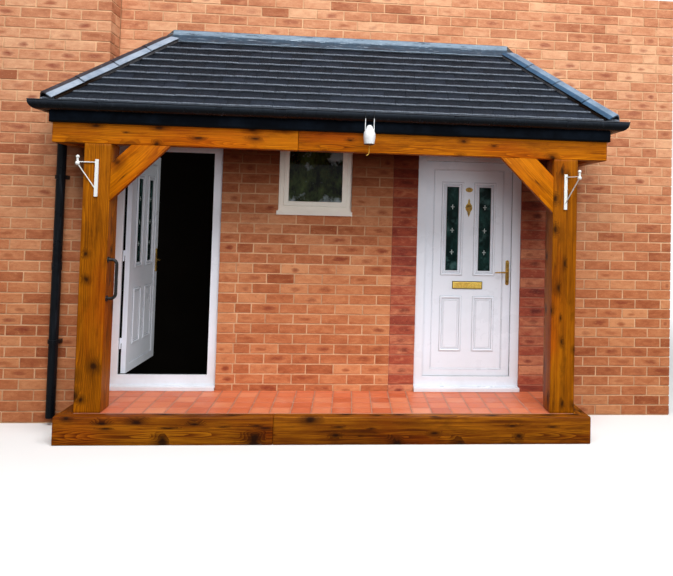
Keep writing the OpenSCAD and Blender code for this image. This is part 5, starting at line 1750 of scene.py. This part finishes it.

# %% [markdown]
# ## Glass
#
# The hall behind is dark, so the glass is painted a deep teal that stands for that dark, with faint painted
# reflections. In each strip of the doors three small four-pointed stars stand proud and catch the light. A
# star is one closed curve whose radius swings between long points and a tight waist: r = (|cos 2a|) to a
# power, with a small floor.

# %% Glass and stars
def glass_finish(name, deep, glow, painted_reflection, shine):
    """Dark glazing behind a polished face: a mottled depth painted for the dark room behind it and, here and
    there, a paler painted reflection.
    """
    f = Finish(name)
    spot = f.place()
    depth = f.noise(spot, (9, 9, 5), 5.0, 0.7)
    # Painted shade: the mottled dark stands for the unlit room behind the glass.
    body = f.over(deep, glow, depth, 0.42, 0.72)
    # A painted reflection in patches.
    body = f.over(body, painted_reflection, f.noise(f.add(spot, (3.1, 0.0, 1.7)), 4.5, 4.0, 0.6), 0.56, 0.64)
    return f.done(body, 0.05, f.bump(f.noise(spot, 3.0, 2.0), 0.0006, 0.35), Specular_IOR_Level=shine)


door_glass = glass_finish("door_glass", "#0a1c1a", "#264844", "#3a5755", 0.1)
window_pane = glass_finish("window_pane", "#0b0e08", "#46552e", "#8b989c", 0.2)
for node, glass in (("left_door_glass", door_glass), ("right_door_glass", door_glass),
                    ("window_glass", window_pane)):
    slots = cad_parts[node].data.materials
    slots.clear()
    slots.append(glass)

STAR_SHARES = (0.22, 0.48, 0.76)
STAR_R, STAR_STEPS, STAR_SINK = 0.017, 48, 0.0091


def star(centre_x, centre_z, face, outward):
    """A raised four-pointed star: its outline and a crest at the middle, with a closed back."""
    angle = np.linspace(0, 2 * np.pi, STAR_STEPS, endpoint=False)
    long_points = np.where(np.abs(np.sin(angle)) > 0.7, 1.35, 1.0)
    radius = STAR_R * (0.16 + 0.84 * np.abs(np.cos(2 * angle)) ** 5 * long_points)
    outline = np.stack([radius * np.cos(angle), radius * np.sin(angle)], 1)
    return raised(outline, [1.0, 1.0, 0.45, 0.0001], [0.0, 0.0006, 0.0013, 0.0016], [centre_x, centre_z],
                  face, outward)


star_glass = two_tone_finish("cut_star", ("#aebfbd", "#e4ecea"), (90.0, 3.0), 0.2, (120.0, 0.0004, 0.6))
for leaf, leaf_w in LEAF_WIDTHS.items():
    stars = [star(leaf_w / 2 + side * STRIP_X, STRIP_Z + share * STRIP_H, face - outward * STAR_SINK, outward)
             for side in (-1, 1) for share in STAR_SHARES for face, outward in FACE_SIGNS]
    leaf_piece(leaf + "_stars", leaf, stars, star_glass, slot="glass", merge=1e-5)

# %% [markdown]
# ## Brass
#
# The furniture on the doors is polished brass that has dulled in patches. The levers are round bars that
# curve from the spindle and thin out towards the end, which is a tube along a short path.

# %% Brass finish and furniture
FLAP_RIM = 0.006


def brass_finish(name, bright, dull, metal, edge=None):
    """Warm polished brass with fine brushing and darker tarnish in patches. With an edge, the corners of a
    box, it is black near the rim of that box, as a letter plate is round its flap."""
    f = Finish(name)
    spot = f.place()
    tarnish = f.noise(spot, 28.0, 5.0, 0.65)
    brush = f.noise(spot, (30, 30, 500), 2.0)
    body = f.over(bright, dull, tarnish, 0.4, 0.7)
    if edge:
        low, high = edge
        middle, half = (low + high) / 2, (high - low) / 2
        x, _, z = f.parts(f.add(spot, tuple(-middle)))
        beyond = f.sums("MAXIMUM", abs(x) - (half[0] - FLAP_RIM), abs(z) - (half[2] - FLAP_RIM))
        body = f.over(body, "#15120c", beyond, 0.0, 0.0008)
    return f.done(body, f.rough(tarnish, 0.2, 0.42), f.bump(brush, 0.0003, 0.5), Metallic=metal)


brass = brass_finish("door_brass", "#d6ae58", "#725420", 0.75)
HANDLE_Z, HANDLE_IN = 0.893, STILE / 2
PLATE_W, PLATE_H, PLATE_T, LEVER_L = 0.030, 0.215, 0.009, 0.115


def stadium(width, height):
    """Outline of a plate with round ends."""
    turn = np.linspace(0, np.pi, 13)
    top = np.stack([width / 2 * np.cos(turn), (height - width) / 2 + width / 2 * np.sin(turn)], 1)
    return np.concatenate([top, -top])


def handle_side(middle, face, outward):
    """Backplate with a soft edge, a turned collar, a curved lever, a key barrel and two screws."""
    shrink = np.array([1.0, 1.0, 0.93, 0.84])
    shrink = np.stack([shrink, 1 - (1 - shrink) * PLATE_W / PLATE_H], 1)
    plate = raised(stadium(PLATE_W, PLATE_H), shrink, [0.0, PLATE_T * 0.6, PLATE_T * 0.9, PLATE_T],
                   [middle, HANDLE_Z], face, outward)
    out = [0, outward, 0]
    collar = turned([(0.0115, 0), (0.0115, 0.004), (0.009, 0.008), (0.0085, 0.03), (0.002, 0.031)],
                    [middle, face + outward * PLATE_T * 0.9, HANDLE_Z], out, 24)
    share = np.linspace(0, 1, 22)
    bend = np.clip(share / 0.18, 0, 1)
    path = np.stack([middle - LEVER_L * np.clip(share - 0.08, 0, 1) / 0.92,
                     face + outward * (0.026 + 0.012 * np.sin(bend * np.pi / 2)),
                     HANDLE_Z + 0.004 * np.sin(share * np.pi)], 1)
    radius = 0.0078 - 0.0022 * share
    radius[-2:] *= (0.8, 0.35)
    lever = tube(path, radius, 14)
    barrel = turned([(0.0085, 0), (0.0085, 0.004), (0.007, 0.005), (0.001, 0.005)],
                    [middle, face + outward * PLATE_T * 0.95, HANDLE_Z - 0.062], out, 20)
    screws = [turned([(0.004, 0), (0.0036, 0.0012), (0.001, 0.0018)],
                     [middle, face + outward * PLATE_T * 0.95, HANDLE_Z + above], out, 12)
              for above in (0.088, -0.09)]
    return joined([plate, collar, lever, barrel] + screws)


for leaf, node in (("left_leaf", "left_door_handles"), ("right_leaf", "right_door_handles")):
    sides = [handle_side(LEAF_WIDTHS[leaf] - HANDLE_IN, face, outward) for face, outward in FACE_SIGNS]
    leaf_piece(node + "_turned", leaf, sides, brass, stands_for=[node], slot="brass", smooth=40)

letter_brass = brass_finish("letter_brass", "#ffe070", "#c89c38", 0.25, box_of("letter_plate"))
dressed("letter_plate", letter_brass, "right_leaf", round_off=0.0014)
dressed("door_knocker", brass, "right_leaf", round_off=0.0012, smooth=45)

# %% Number plaque
PLAQUE_Z = 1.600


def plaque(middle, height):
    """A plain oval plaque over the knocker, domed a little, with a raised rim."""
    angle = np.linspace(0, 2 * np.pi, 40, endpoint=False)
    outline = np.stack([0.031 * np.cos(angle), 0.020 * np.sin(angle)], 1)
    return raised(outline, [1.0, 1.0, 0.96, 0.88, 0.84, 0.4, 0.001],
                  [0.0, 0.0028, 0.0036, 0.0036, 0.0026, 0.003, 0.0032], [middle, height], SINK, -1)


leaf_piece("number_plaque", "right_leaf", [plaque(LEAF_WIDTHS["right_leaf"] / 2, PLAQUE_Z)], brass,
           slot="brass", smooth=40, merge=1e-5)

# %% [markdown]
# ## Fittings and hidden timber
#
# What is left are the brackets, the grab handle, the hook over the gutter and the timber behind the eaves
# boards. Their solids have the right form, so copies of them are given a finish, and all but the grab handle
# are rounded at their edges.

# %% Metal finishes
def painted_metal_finish(name, tone, chipped, rough=0.35):
    """Thick paint on steel: slightly lumpy, with small chips that show what is below."""
    f = Finish(name)
    spot = f.place()
    chips = f.noise(spot, 70.0, 5.0, 0.75)
    body = f.over(tone, chipped, chips, 0.66, 0.7)
    lumps = f.bump(f.noise(spot, 60.0, 3.0), 0.0006, 0.6)
    return f.done(body, f.rough(chips, rough, rough + 0.2), lumps)


white_metal = painted_metal_finish("white_metal", "#e4e6e4", "#8c7a68")
black_iron = painted_metal_finish("black_iron", "#101112", "#3a2c24", 0.4)
HANGER_FOOT = RIM_Z - 0.247
HANGER_TOP = RIM_Z - 0.052


def hanger_finish():
    """The hanger's paint by height: black over the gutter's rim, white below it, with a brass hook."""
    f = Finish("hanger_paint")
    spot = f.place()
    height = f.parts(spot)[2]
    scuff = f.noise(spot, 50.0, 5.0, 0.7)
    body = f.over("#e6e8ea", "#a9aaa6", scuff, 0.5, 0.75, 0.4)
    body = f.over(body, "#4a2c1c", height, HANGER_FOOT + 0.01, HANGER_FOOT + 0.008)
    body = f.over(body, "#c99a35", height, HANGER_FOOT - 0.001, HANGER_FOOT - 0.003)
    body = f.over(body, "#101318", height, HANGER_TOP - 0.002, HANGER_TOP + 0.002)
    return f.done(body, f.rough(scuff, 0.3, 0.5), f.bump(scuff, 0.0006, 0.5))


for node, finish, round_off, slot in (("basket_brackets", white_metal, 0.001, "white_metal"),
                                      ("grab_handle", black_iron, 0.0, "black_metal"),
                                      ("basket_hanger", hanger_finish(), 0.0008, "white_plastic_fitting")):
    dressed(node, finish, "porch", round_off, 50)

# %% Hidden timber
def dressed_timber(node, along, across, depth, finish):
    """A copy of a timber solid with its grain mark, measured along three directions."""
    made = dressed(node, finish, round_off=0.001)
    count = len(made.data.vertices)
    points = np.empty(count * 3, np.float32)
    made.data.vertices.foreach_get("co", points)
    grain = points.reshape(-1, 3) @ np.array([along, across, depth]).T
    layer = made.data.attributes.new("grain", "FLOAT_VECTOR", "POINT")
    layer.data.foreach_set("vector", grain.astype(np.float32).ravel())


dressed_timber("wall_plate", [1, 0, 0], [0, 1, 0], [0, 0, 1], sawn)
dressed_timber("rafters", [0, COS, SIN], [1, 0, 0], [0, -SIN, COS], sawn)


def bed_finish():
    """Rammed fill and concrete under the deck tiles."""
    f = Finish("deck_fill")
    spot = f.place()
    stones = f.step("TexVoronoi", {"Vector": spot, "Scale": 38.0}, "Distance")
    body = f.mix(f.noise(spot, 12.0, 5.0), "#8f8a84", "#6d6861")
    return f.done(body, 0.95, f.bump(stones + f.noise(spot, 90.0, 4.0), 0.004, 0.8))


dressed("deck_bed", bed_finish(), round_off=0.002)
